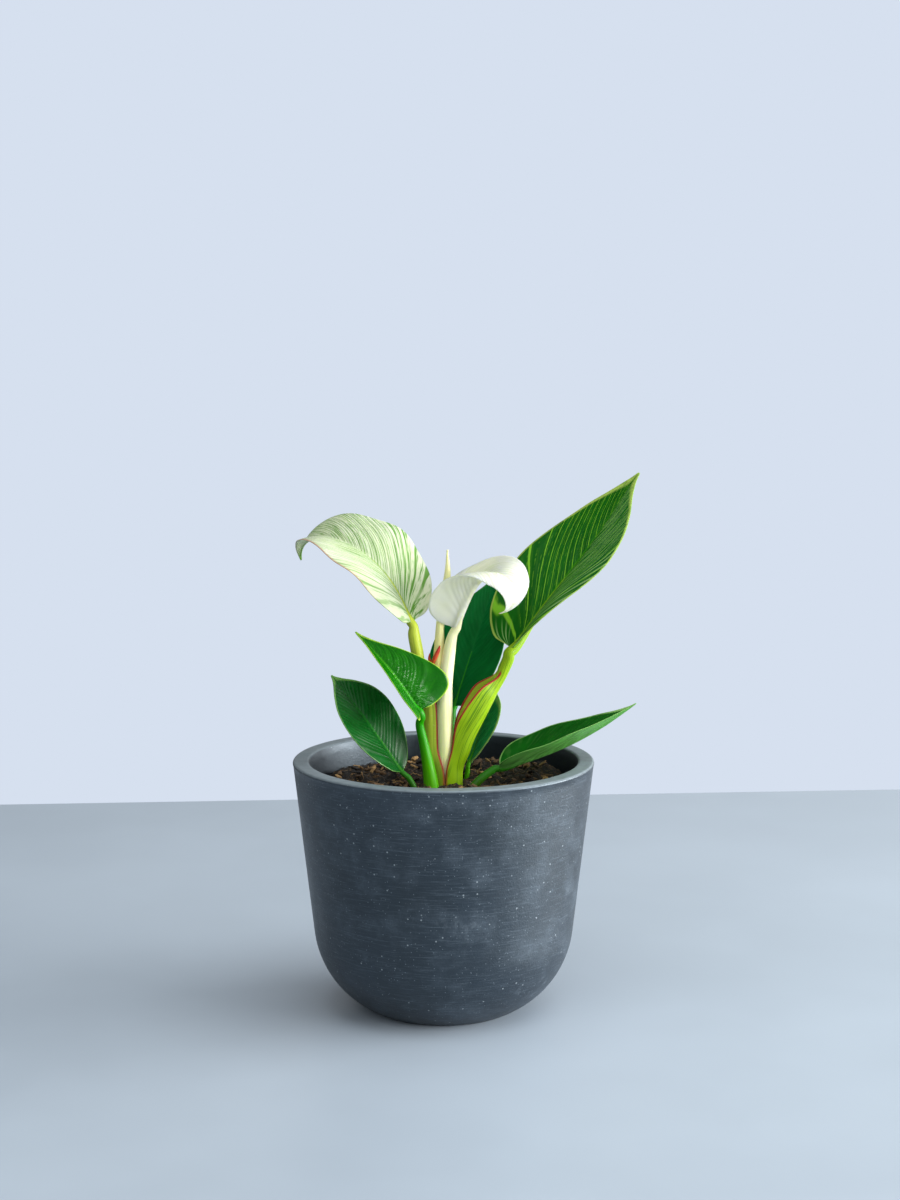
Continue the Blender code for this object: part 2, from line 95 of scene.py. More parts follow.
# Margin of a blade, as shares of its length and half width, and how far a lobe carries it back past the stalk
OUTLINE = [(0, 0.10), (0.012, 0.42), (0.07, 0.75), (0.18, 0.95), (0.34, 1), (0.54, 0.86),
           (0.72, 0.57), (0.86, 0.26), (0.95, 0.085), (1, 0.02)]
LOBE = [0, 0.075, 0.05, 0.015, 0, 0, 0, 0, 0, 0]
# Side veins: how far they run ahead as a share of the length, how soon they do, how this fades to the tip,
# and how they swing (below 1 they leave along the midrib, above 1 across it)
VEINS = (0.46, 0.08, 0.75, 1.1)
# Angles are in degrees, and fold and curl are those of the left and the right side
BLADES = {
    "blade_arched_cream": dict(
        at=(-11.5, 0, 144.1), heading=175, rise=68, roll=30, length=68, left=17.8, right=18.9,
        bend=[28, 100, 100, 102, 245, 600], fold=(16, 31), curl=(-22, -26),
        lobe=0.25, middle=0.72, taper=1.03, wave=0.7, waves=3.2, veins=(0.52, 0.06, 0.85, 0.95)),
    "blade_hooded_white": dict(
        at=(4.3, -1, 141.7), heading=-21, rise=68, roll=0, length=53.3, left=16.7, right=15.6,
        bend=[10, 54, 275, 452, 335], twist=[2, -34, -11, -58], sweep=[-32, -32, 7],
        fold=([73, 33, 11, 9], [70, 44, 4, 7]), curl=([17, -51], [-30, -37]),
        lobe=0.1, middle=1, taper=1, wave=0, waves=1),
    "blade_striped_tall": dict(
        at=(25.2, 3, 133.7), heading=28.3, rise=50.4, roll=-11.7, length=85.4, left=20.9, right=20.2,
        bend=[19.3, 24.3, -12, -31.3, 5.7], sweep=[6.3, 8.8, 8.1, 5.7, -24.5, -94.4],
        fold=([34, 22, 11.7], [41.2, 15.2, 6.4]), curl=(-4.6, -7.9),
        lobe=0.24, middle=0.82, taper=0.98, wave=0.3, waves=2.4, veins=(0.60, 0.06, 0.85, 0.92)),
    "blade_back_green": dict(
        at=(3.9, 13, 110.4), heading=51, rise=62, roll=-9, length=55.5, left=15.5, right=15.5,
        bend=[6, 4, 0], fold=(15, 16), curl=(0, 0),
        lobe=0.1, middle=0.88, taper=1.06, wave=0.3, waves=2),
    "blade_left_middle": dict(
        at=(-8.5, -9, 112.1), heading=193, rise=58, roll=51, length=37.6, left=12.9, right=15.6,
        bend=[18, 28, 16], sweep=-4, fold=(30, 25), curl=(13, 10),
        lobe=0.3, middle=1.7, taper=1.05, wave=0.3, waves=2),
    "blade_left_low": dict(
        at=(-15.1, -9, 90.1), heading=179, rise=58, roll=43, length=43.5, left=12.3, right=12.4,
        bend=[16, 8, 3], sweep=1, fold=(14, 12), curl=(-3, 0),
        lobe=0.3, middle=0.56, taper=1.08, wave=0.2, waves=2),
    "blade_back_small": dict(
        at=(9.5, 10, 89.5), heading=44, rise=62, roll=-6, length=29.8, left=9, right=9,
        bend=[0, -3, 0], sweep=1, fold=(15, 16), curl=(0, 0),
        lobe=0.8, middle=0.43, taper=1.05, wave=0.2, waves=2),
    "blade_right_low": dict(
        at=(20.9, 0, 89.7), heading=-3, rise=17, roll=-7, length=55.7, left=12, right=12,
        bend=[-4, -30, -5], sweep=6, fold=(28, 33), curl=(2, -3),
        lobe=0, middle=1, taper=1.06, wave=0.3, waves=2.5),
}

# Where the stalk runs on under the blade as its midrib: shares of the blade's length, the radius there as a
# share of the stalk's, and how far the rib's middle lies below the blade as a share of its own radius
RIB_SHARES = np.array([0, 0.04, 0.09, 0.16, 0.26, 0.40])
RIB_RADII = (0.95, 0.80, 0.62, 0.46, 0.32, 0.16)
RIB_SINK = (0.45, 0.8, 1, 1, 1, 1)
# Added depth of the rib under the blade, and how far before the blade the stalk turns into it at most
RIB_DROP = 0.12
RIB_APPROACH = 2.2

# Fine ribs on a round stalk, their height as a share of its radius, and the least radius of any stalk
STALK_RIBS = 9
STALK_RIB_HEIGHT = 0.02
THINNEST = 0.08

# Round stalks: x, y, z and radius from the foot up, and the radius at the blade, "end"
STALKS = {
    "stalk_hooded_white": dict(
        end=1.7, rib=(0.9, 0.62, 0.42, 0.30, 0.20, 0.10), sink=(0.3, 0.6, 0.7, 0.75, 0.75, 0.75),
        path=[(0.6, 0, 76, 2.7), (0.6, 0, 80, 2.7), (0.6, 0, 84, 2.7), (0.3, 0, 98, 3.05), (0.2, 0, 112, 3.1),
              (0.4, 0, 121, 2.9), (1.5, -0.3, 129, 2.5), (2.6, -0.6, 136, 2.1)]),
    "stalk_back_green": dict(
        end=1.2, path=[(2.2, 9, 76, 1.5), (2.2, 9, 80, 1.5), (2.3, 9, 84, 1.5), (3, 10, 96, 1.3),
                       (3.4, 11.5, 106, 1.2)]),
    "stalk_left_middle": dict(
        end=1.4, sink=(0, 0.5, 0.8, 1, 1, 1),
        path=[(-4.4, -6.8, 76, 2.75), (-4.4, -6.8, 80, 2.75), (-4.5, -6.8, 84, 2.75), (-5.6, -6.9, 92, 2.2),
              (-7.3, -7.2, 100.5, 1.75), (-8.7, -7.8, 107, 1.5)]),
    "stalk_left_low": dict(
        end=1, path=[(-10, -9.4, 77, 1.1), (-10.4, -9.3, 80.5, 1.1), (-10.8, -9.2, 84, 1.1),
                     (-12.6, -9.1, 87.4, 1.05)]),
    "stalk_back_small": dict(
        end=0.8, sink=(0, 0.5, 0.8, 1, 1, 1),
        path=[(8.2, 9.2, 76, 1), (8.3, 9.3, 79, 1), (8.5, 9.5, 82, 1), (8.9, 9.7, 86, 0.9)]),
    "stalk_right_low": dict(
        end=1.35,
        path=[(10, -2.6, 77, 1.6), (10.6, -2.3, 80, 1.6), (11.4, -1.9, 83, 1.6), (14.4, -1, 86, 1.5),
              (17.6, -0.3, 88.2, 1.4)]),
}
# The unopened leaf: x, y, z, radius. Its foot stands in the sheath of the arched leaf's stalk.
SPEAR = [(-4.2, 0.9, 111, 0.5), (-4, 0.7, 115, 1), (-3.2, 0.3, 121, 1.5), (-2.2, 0.1, 127, 1.9),
         (-1.8, 0.3, 131.5, 1.95), (-1.5, 0.5, 136.5, 1.8), (-1.3, 0.6, 141.5, 1.55), (-0.8, 0.7, 148, 1.35),
         (0.9, 0.8, 157, 1.4), (1.5, 0.8, 162, 1.1), (1.5, 0.8, 166.5, 0.6), (1.5, 0.8, 170.2, 0.35)]

# Dried tips of the sheaths, lying against the unopened leaf
SHEATH_TIPS = {
    "sheath_tip_front": [(-4.4, -1, 127.6, 0.4), (-3.6, -1.6, 129.6, 0.7), (-2.7, -1.85, 131.7, 0.8),
                         (-1.8, -1.8, 133.6, 0.6), (-1.3, -1.6, 135.2, 0.15)],
    "sheath_tip_left": [(-3.2, -0.2, 126.2, 0.7), (-4.5, -0.5, 128.2, 0.7), (-5.2, -0.6, 130.2, 0.5),
                        (-5.1, -0.6, 132.2, 0.12)],
}

# Stalks with an open sheath at the foot: x, y, z, radius, how far the sheath is open (1) or closed (0), how
# far its wings reach back past the middle as a share of the radius, and how far its back turns to the left.
# "outward" is the heading of its back, away from the stalk that it wraps.
SHEATHS = {
    "stalk_striped_tall": dict(
        outward=0, end=2.1,
        path=[(3.2, 0, 76, 3.9, 1, 0.42, 0), (3.2, 0, 80, 3.9, 1, 0.42, 0), (3.4, 0, 84, 3.9, 1, 0.42, 0),
              (5.1, 0, 90.4, 3.6, 1, 0.68, 0), (7, 0.2, 98, 3.5, 1, 1, 0),
              (9.2, 0.6, 103.4, 3.5, 1, 1.42, 4), (11.5, 1, 108.2, 3.6, 1, 1.5, 12),
              (15.4, 2, 115.7, 3.6, 1, 1.3, 20), (18, 2.6, 119.3, 2.9, 0.9, 1.2, 20),
              (20.6, 3, 122.8, 2.35, 0.5, 0.7, 15), (22.2, 3, 126, 2.3, 0.1, 0.3, 10),
              (23.8, 3, 129.5, 2.2, 0, 0, 0)]),
    "stalk_arched_cream": dict(
        outward=180, end=1.7,
        path=[(-2, 0, 76, 3.9, 1, 0.42, 0), (-2, 0, 80, 3.9, 1, 0.42, 0),
              (-2.2, 0.1, 84, 3.9, 1, 0.42, 0), (-3.7, 0.5, 91, 3.6, 1, 0.5, 0),
              (-4.5, 0.8, 98, 3.5, 1, 0.62, 0), (-4.9, 0.9, 112, 3.4, 1, 0.62, 0),
              (-6.6, 0.6, 121, 3.1, 0.7, 0.6, 0), (-8.6, 0.3, 128, 2.5, 0.2, 0.42, 0),
              (-9.8, 0, 133.5, 2.3, 0, 0.42, 0), (-10.8, 0, 139, 2.2, 0, 0.42, 0)]),
}
SHEATH_STEPS = 150
# Section of a sheath, its radius taken as 1
LIP_REACH = 0.93
LIP_WALL = 0.2
HOLLOW_WIDTH = 0.62
HOLLOW_DEPTH = 0.35
BACK_WALL = 0.75
# The shell that both sheaths form at the foot, round the upright stalk. It opens between the two heights.
SHELL_CENTRE = 0.6
SHELL_OUTER = (6.5, 4.25)
SHELL_INNER = 2.75
SHELL_HEIGHTS = (97, 86)
# How far the red of a lip reaches
LIP_WIDTH = 0.85


def rgb(red, green, blue):
    """Linear colour with alpha from display values of 0 to 255."""
    return (*(((v/255 + 0.055)/1.055)**2.4 if v > 10 else v/255/12.92 for v in (red, green, blue)), 1.0)


# Form

def spline(points, shares):
    """Smooth curve through the points, at shares of the way from the first to the last."""
    p = np.asarray(points, float)
    last = len(p) - 1
    p = np.vstack([2*p[0] - p[1], p, 2*p[-1] - p[-2]])
    t = np.clip(np.asarray(shares, float), 0, 1)*last
    i = np.minimum(t.astype(int), last - 1)
    f = (t - i)[:, None]
    a, b, c, d = p[i], p[i + 1], p[i + 2], p[i + 3]
    return 0.5*((2*b) + (c - a)*f + (2*a - 5*b + 4*c - d)*f**2 + (3*b - a - 3*c + d)*f**3)


def spread(values, shares):
    """A value, or a list spread evenly from 0 to 1, at each share."""
    values = np.atleast_1d(np.asarray(values, float))
    return np.interp(shares, np.linspace(0, 1, len(values)), values)


def turned(vector, axis, angle):
    """The vector turned about an axis of length 1."""
    return vector*cos(angle) + np.cross(axis, vector)*sin(angle) + axis*np.dot(axis, vector)*(1 - cos(angle))


def blade_start(leaf):
    """Direction of the midrib and of the upper face where the blade starts."""
    yaw, pitch, roll = (radians(leaf[key]) for key in ("heading", "rise", "roll"))
    along = np.array([cos(pitch)*cos(yaw), cos(pitch)*sin(yaw), sin(pitch)])
    level = np.array([-sin(pitch)*cos(yaw), -sin(pitch)*sin(yaw), cos(pitch)])
    return along, cos(roll)*level + sin(roll)*np.cross(level, along)


def midrib(leaf, shares):
    """Points, directions, lefts and normals of the midrib at shares of its length."""
    along, normal = blade_start(leaf)
    point = np.array(leaf["at"], float)
    rows, steps = [], MIDRIB_STEPS
    for i in range(steps + 1):
        rows.append(np.concatenate([point, along, np.cross(normal, along), normal]))
        bend, sweep, twist = (
            radians(spread(leaf.get(key, 0), i/steps))/steps for key in ("bend", "sweep", "twist"))
        ahead = along*cos(bend) - normal*sin(bend)
        normal = normal*cos(bend) + along*sin(bend)
        ahead = turned(ahead, normal, sweep)
        normal = turned(normal, ahead, twist)
        point = point + (along + ahead)/2*leaf["length"]/steps
        along, normal = ahead/norm(ahead), normal/norm(normal)
    rows = np.array(rows)
    inside = np.clip(shares, 0, 1)
    found = np.stack([np.interp(inside, np.linspace(0, 1, steps + 1), rows[:, k]) for k in range(12)], -1)
    points, along, left, normal = (found[..., k:k + 3] for k in (0, 3, 6, 9))
    return points + along*((shares - inside)*leaf["length"])[..., None], along, left, normal


def vein_origin(place, far, reach, onset, fade, swing):
    """Share of the midrib where the side vein through a point starts. Below 0 it fans out from the stalk."""
    low, high = np.full(place.shape, -1.0), np.full(place.shape, 1.0)
    for _ in range(26):
        c = (low + high)/2
        ahead = reach*(1 - np.exp(-np.maximum(c, 0)/onset))*(1 - np.maximum(c, 0))**fade
        reached = np.where(c < 0, c*far, c + ahead*far**swing)
        low, high = np.where(reached < place, c, low), np.where(reached < place, high, c)
    return (low + high)/2


def blade_grid(leaf):
    """Upper face of a blade, and what its material reads at each point."""
    shares = np.linspace(0, 1, BLADE_ROWS + 1)
    margin = np.array(OUTLINE, float)
    margin[:, 0] = margin[:, 0]**leaf["middle"] - leaf["lobe"]*np.array(LOBE)
    margin[:, 1] = margin[:, 1]**leaf["taper"]
    margin = spline(margin, shares)
    across = np.linspace(-1, 1, 2*BLADE_COLUMNS + 1)
    far = np.abs(across)
    centre = shares**ROW_LEAN
    place = centre[:, None] + (margin[:, 0] - centre)[:, None]*far**ROW_SWEEP
    half = np.where(across < 0, leaf["right"], leaf["left"])
    reach = margin[:, 1][:, None]*far*half
    points, _, left, normal = midrib(leaf, place)

    def sided(key):
        left, right = (spread(side, place) for side in leaf[key])
        return np.radians(np.where(across < 0, right, left))

    fold, curl = sided("fold"), sided("curl")*reach/half
    flat = np.abs(curl) < 1e-6
    safe = np.where(flat, 1, curl)
    straight = np.where(flat, 1, np.sin(safe)/safe)
    round_off = np.where(flat, curl/2, (1 - np.cos(safe))/safe)
    out = reach*(np.cos(fold)*straight - np.sin(fold)*round_off)
    lift = reach*(np.sin(fold)*straight + np.cos(fold)*round_off)
    side = np.sign(across)
    lift = lift + leaf["wave"]*(reach/half)**2*np.sin(2*pi*leaf["waves"]*place + 0.8*side)
    points = points + left*(out*side)[..., None] + normal*lift[..., None]
    widest = margin[:, 1][:, None]*half
    tip = (1 - place)*leaf["length"] + 0.3
    facts = {
        "along": np.broadcast_to(shares[:, None], place.shape),
        "across": np.broadcast_to(across, place.shape),
        "vein": vein_origin(np.clip(place, -0.5, 1), np.broadcast_to(far, place.shape),
                            *leaf.get("veins", VEINS)),
        "rib": reach,
        "rim": np.minimum(widest*(1 - far), tip),
    }
    return points, facts


def grid_normals(points):
    """Unit normals of a grid, towards the upper face."""
    down = np.gradient(points, axis=0)
    over = np.gradient(points, axis=1)
    normal = np.cross(down, over)
    return normal/np.maximum(norm(normal, axis=-1, keepdims=True), 1e-9)


# Objects

def add_object(name, data):
    obj = bpy.data.objects.new(name, data)
    bpy.context.scene.collection.objects.link(obj)
    return obj


def add_mesh(name, points, faces, facts, surface, smooth=True):
    """A mesh object in metres from points in millimetres, with a named value per point for its material."""
    mesh = bpy.data.meshes.new(name)
    mesh.from_pydata((np.asarray(points, float)*MM).tolist(), [], faces)
    for key, values in facts.items():
        held = mesh.attributes.new(key, "FLOAT", "POINT")
        held.data.foreach_set("value", np.ravel(values).astype(np.float32))
    mesh.polygons.foreach_set("use_smooth", [smooth]*len(mesh.polygons))
    mesh.update()
    mesh.materials.append(surface)
    return add_object(name, mesh)


def place_piece(obj, node=None):
    """Ride on the body, in place of a node where one is given."""
    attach(obj, "root")
    if node:
        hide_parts(node)


def grid_faces(rows, columns, closed=False):
    """Quads between rows of points, each row closed to a ring where asked."""
    faces = []
    for r in range(rows - 1):
        for c in range(columns if closed else columns - 1):
            d = (c + 1) % columns
            faces.append((r*columns + c, r*columns + d, (r + 1)*columns + d, (r + 1)*columns + c))
    return faces


def tube_faces(rows, sides):
    """Faces of a tube, with a cap on each end."""
    caps = [tuple(reversed(range(sides))), tuple(range((rows - 1)*sides, rows*sides))]
    return grid_faces(rows, sides, closed=True) + caps


def add_leaf(name, surface):
    """A thin closed blade with a grooved midrib above, a ridge below and gently quilted side veins."""
    top, facts = blade_grid(BLADES[name])
    rows, columns = top.shape[:2]
    normal = grid_normals(top)
    share, rib = facts["along"], facts["rib"]
    near = np.exp(-(rib/0.9)**2)*(1 - share)**0.6
    inner = np.clip(facts["rim"]/2.5, 0, 1)
    veins = np.cos(2*pi*QUILT_VEINS*facts["vein"])*np.clip(rib/2, 0, 1)*inner
    upper = top + normal*(QUILTS.get(name, QUILT)*veins - GROOVE*near)[..., None]
    deep = EDGE_THICK + (BODY_THICK - EDGE_THICK)*inner + RIDGE*near
    lower = upper - normal*deep[..., None]
    count = rows*columns
    sheet = grid_faces(rows, columns)
    faces = [face[::-1] for face in sheet] + [tuple(i + count for i in face) for face in sheet]
    rim = list(range(columns))
    rim += [r*columns + columns - 1 for r in range(1, rows)]
    rim += [(rows - 1)*columns + c for c in range(columns - 2, -1, -1)]
    rim += [r*columns for r in range(rows - 2, 0, -1)]
    for a, b in zip(rim, rim[1:] + rim[:1]):
        faces.append((a, b, b + count, a + count))
    doubled = {key: np.concatenate([np.ravel(v), np.ravel(v)]) for key, v in facts.items()}
    doubled["under"] = np.concatenate([np.zeros(count), np.ones(count)])
    points = np.concatenate([upper.reshape(-1, 3), lower.reshape(-1, 3)])
    place_piece(add_mesh(name.replace("blade_", "leaf_"), points, faces, doubled, surface), name)


def frames_along(path, outward):
    """For each point of a path: its direction, an outward direction across it, and the third direction."""
    ahead = np.gradient(path[:, :3], axis=0)
    ahead = ahead/norm(ahead, axis=1, keepdims=True)
    out = np.broadcast_to(np.asarray(outward, float), ahead.shape)
    out = out - ahead*np.sum(out*ahead, axis=1, keepdims=True)
    out = out/norm(out, axis=1, keepdims=True)
    return ahead, out, np.cross(ahead, out)


def stalk_path(node, spec):
    """The stalk's own points, then on under the blade as its tapering midrib."""
    leaf = BLADES[node.replace("stalk", "blade")]
    points, along, _, normal = midrib(leaf, RIB_SHARES)
    radii = spec["end"]*np.array(spec.get("rib", RIB_RADII))
    sunk = points - normal*(radii*np.array(spec.get("sink", RIB_SINK)) + RIB_DROP)[:, None]
    start = np.array(leaf["at"], float)
    coming = start - np.array(spec["path"][-1][:3], float)
    turned_in = along[0] + coming/norm(coming)
    reach = min(RIB_APPROACH, 0.5*norm(coming))
    before = start - reach*turned_in/norm(turned_in)
    tail = [(*before, spec["end"])] + [(*p, r) for p, r in zip(sunk, radii)]
    more = len(spec["path"][0]) - 4
    return list(spec["path"]) + [(*p, *[0]*more) for p in tail]


def add_stalk_mesh(name, rings, path, surface, **facts):
    """A closed stalk from its rings of points, with its length and its height at each point."""
    shape = rings.shape[:2]
    length = np.concatenate([[0], np.cumsum(norm(np.diff(path[:, :3], axis=0), axis=1))])
    facts = {"length": length[:, None], "height": rings[..., 2], **facts}
    facts = {key: np.broadcast_to(values, shape) for key, values in facts.items()}
    return add_mesh(name, rings.reshape(-1, 3), tube_faces(*shape), facts, surface)


def add_round_stalk(name, node, path, surface, steps=110, sides=28):
    """A finely ribbed round stalk along a path of x, y, z and radius."""
    path = spline(path, np.linspace(0, 1, steps + 1))
    _, out, over = frames_along(path, (1, 0, 0))
    turn = np.linspace(0, 2*pi, sides, endpoint=False)
    ribs = 1 + STALK_RIB_HEIGHT*np.cos(STALK_RIBS*turn)[None, :]
    radius = np.maximum(path[:, 3], THINNEST)[:, None]*ribs
    face, side = np.cos(turn), np.sin(turn)
    rings = path[:, None, :3] + radius[..., None]*(face[None, :, None]*out[:, None]
                                                   + side[None, :, None]*over[:, None])
    obj = add_stalk_mesh(name, rings, path, surface, turn=side, face=face, lip=0.0, hollow=0.0)
    place_piece(obj, node)


def arc(start, end, count):
    """Points on a circle of radius 1 between two angles."""
    turn = np.radians(np.linspace(start, end, count))
    return np.stack([np.cos(turn), np.sin(turn)], 1)


def sheath_section(wing):
    """Closed outline of a sheath of radius 1, open towards -u, its points counted piece by piece."""
    back = arc(-95, 95, 30)
    tip, inner = np.array((-wing, LIP_REACH)), np.array((-wing, LIP_REACH - LIP_WALL))
    flank = back[-1] + (tip - back[-1])*np.linspace(0, 1, 12)[1:, None]
    half = LIP_WALL/2
    lip = np.array((-wing, LIP_REACH - half)) + half*arc(90, 270, 7)[1:-1]
    f = np.linspace(1, -1, 15)[:, None]
    floor = np.concatenate([1 - BACK_WALL - HOLLOW_DEPTH*f*f, HOLLOW_WIDTH*f], 1)
    down = inner + (floor[0] - inner)*np.linspace(0, 1, 9)[:-1, None]
    pieces = [(flank*(1, -1))[::-1], back, flank, lip, down, floor, (down*(1, -1))[::-1],
              (lip*(1, -1))[::-1]]
    return np.concatenate(pieces), [len(piece) for piece in pieces]


def add_sheathed_stalk(node, surface):
    """An open sheath that closes to a round stalk. At the foot both sheaths close round the upright stalk."""
    spec = SHEATHS[node]
    path = spline(stalk_path(node, spec), np.linspace(0, 1, SHEATH_STEPS + 1))
    headings = np.radians(spec["outward"] + path[:, 6])
    level = np.stack([np.cos(headings), np.sin(headings), np.zeros(len(path))], 1)
    _, out, over = frames_along(path, level)
    _, counts = sheath_section(0.5)
    outside, lips = sum(counts[:3]), counts[3]
    inside = sum(counts[4:7])
    stalk = np.concatenate([arc(-112, -96, counts[0]), arc(-95, 95, counts[1]), arc(96, 112, counts[2]),
                            arc(114, 246, 2*lips + inside)])
    share = np.linspace(0.9, 0.1, lips)[:, None]
    rim = arc(88, 88, lips)*(np.array(SHELL_OUTER)*share + SHELL_INNER*(1 - share))
    shell = np.concatenate([arc(-88, 88, outside)*SHELL_OUTER, rim, arc(88, -88, inside)*SHELL_INNER,
                            (rim*(1, -1))[::-1]])
    side = np.array((cos(radians(spec["outward"])), 0, 0))
    across = np.cross((0, 0, 1), side)
    rings, forms, lip = [], [], []
    for i, (x, y, z, radius, opened, wing, _) in enumerate(path):
        opened = min(max(opened, 0), 1)
        sheath, _ = sheath_section(wing)
        form = stalk + (sheath - stalk)*opened
        ring = np.array((x, y, z)) + max(radius, THINNEST)*(form[:, :1]*out[i] + form[:, 1:]*over[i])
        wrapped = min(max((SHELL_HEIGHTS[0] - z)/(SHELL_HEIGHTS[0] - SHELL_HEIGHTS[1]), 0), 1)
        wrapped = wrapped*wrapped*(3 - 2*wrapped)
        around = np.array((SHELL_CENTRE, 0, z)) + shell[:, :1]*side + shell[:, 1:]*across
        rings.append(ring + (around - ring)*wrapped)
        forms.append(form)
        ends = sheath[[outside + lips//2, outside + lips + inside + lips//2]]
        near = np.min(norm(sheath[:, None] - ends[None], axis=2), axis=1)*radius
        lip.append(np.exp(-(near/LIP_WIDTH)**2)*min(1, opened*2.5))
    form = np.array(forms)
    hollow = np.zeros(len(stalk))
    hollow[outside + lips:outside + lips + inside] = 1
    obj = add_stalk_mesh(node.replace("stalk", "petiole"), np.array(rings), path, surface,
                         turn=form[..., 1], face=form[..., 0], lip=np.array(lip),
                         hollow=hollow*np.clip(path[:, 4], 0, 1)[:, None])
    place_piece(obj, node)


# Materials

class Nodes:
    """A material's or the world's nodes, and the shader that they feed."""

    def __init__(self, owner, shader):
        owner.use_nodes = True
        self.tree = owner.node_tree
        self.shader = self.tree.nodes[shader]

    def put(self, socket, value):
        if isinstance(value, bpy.types.NodeSocket):
            self.tree.links.new(value, socket)
        else:
            socket.default_value = value

    def node(self, kind, inputs, **settings):
        made = self.tree.nodes.new("ShaderNode" + kind)
        for key, value in settings.items():
            setattr(made, key, value)
        for key, value in inputs.items():
            self.put(made.inputs[key], value)
        return made

    def fact(self, name):
        return self.node("Attribute", {}, attribute_name=name).outputs["Fac"]

    def place(self):
        return self.node("TexCoord", {}).outputs["Object"]

    def math(self, operation, a, b=0, c=0):
        return self.node("Math", {0: a, 1: b, 2: c}, operation=operation).outputs[0]

    def times(self, a, b):
        return self.math("MULTIPLY", a, b)

    def off_middle(self, value):
        """How far a value is from the middle between two whole numbers."""
        return self.math("ABSOLUTE", self.math("SUBTRACT", self.math("FRACT", value), 0.5))

    def ramp(self, value, low, high, start=0, end=1):
        inputs = {"Value": value, "From Min": low, "From Max": high, "To Min": start, "To Max": end}
        return self.node("MapRange", inputs, interpolation_type="SMOOTHSTEP").outputs["Result"]

    def vector(self, x, y, z=0):
        return self.node("CombineXYZ", {0: x, 1: y, 2: z}).outputs[0]

    def stretch(self, vector, scale, rotation=(0, 0, 0)):
        inputs = {"Vector": vector, "Scale": scale, "Rotation": rotation}
        return self.node("Mapping", inputs).outputs[0]

    def noise(self, vector, scale, detail=2, roughness=0.5):
        inputs = {"Vector": vector, "Scale": scale, "Detail": detail, "Roughness": roughness}
        return self.node("TexNoise", inputs).outputs[0]

    def mix(self, share, a, b):
        return self.node("Mix", {0: share, 6: a, 7: b}, data_type="RGBA").outputs[2]


class Surface(Nodes):
    """One material, its colour so far and its normal so far. Constant values go on the shader's sockets."""

    def __init__(self, name, **sockets):
        self.material = bpy.data.materials.new(name)
        super().__init__(self.material, "Principled BSDF")
        self.colour, self.normal = None, None
        for key, value in sockets.items():
            self.shader.inputs[key.replace("_", " ")].default_value = value

    def between(self, share, a, b):
        """Start the colour as a mix of two tones."""
        self.colour = self.mix(share, rgb(*a), rgb(*b))

    def paint(self, share, tone, amount=1):
        """Lay a tone over the colour so far, where the share says."""
        share = share if amount == 1 else self.times(share, amount)
        self.colour = self.mix(share, self.colour, rgb(*tone))

    def bump(self, height, distance, strength):
        """Add a bump to the normal so far."""
        inputs = {"Height": height, "Distance": distance, "Strength": strength}
        if self.normal:
            inputs["Normal"] = self.normal
        self.normal = self.node("Bump", inputs).outputs[0]

    def finish(self, roughness):
        self.put(self.shader.inputs["Base Color"], self.colour)
        self.put(self.shader.inputs["Roughness"], roughness)
        if self.normal:
            self.put(self.shader.inputs["Normal"], self.normal)
        return self.material


class BladeSurface(Surface):
    """A blade's material, with what its points say and marks that follow its side veins."""

    def __init__(self, name, **sockets):
        super().__init__(name, **sockets)
        self.across, self.vein, self.along = self.fact("across"), self.fact("vein"), self.fact("along")
        self.far, self.side = self.math("ABSOLUTE", self.across), self.math("SIGN", self.across)

    def drawn_out(self, fine, long, detail=2, roughness=0.5, at=None):
        """Noise drawn out along the side veins. It changes with "fine" across them and "long" along them."""
        at = at or self.vein
        place = self.vector(self.times(at, fine), self.times(self.far, long), self.side)
        return self.noise(place, 1, detail, roughness)

    def lines(self, count, width, gaps, wander=1.6, dash=3, shift=0):
        """Thin lines along the side veins, each with its own strength, broken here and there."""
        vein = self.math("ADD", self.vein, shift) if shift else self.vein
        at = self.math("MULTIPLY_ADD", vein, count, self.times(self.drawn_out(5, 1.3, at=vein), wander))
        line = self.ramp(self.off_middle(at), width, width*0.35)
        strong = self.drawn_out(3.7, dash, 3, 0.6, at=self.math("FLOOR", at))
        return self.times(line, self.ramp(strong, *gaps))

    def ridges(self, count, distance):
        self.bump(self.math("SINE", self.times(self.vein, 2*pi*count)), distance, 0.5)


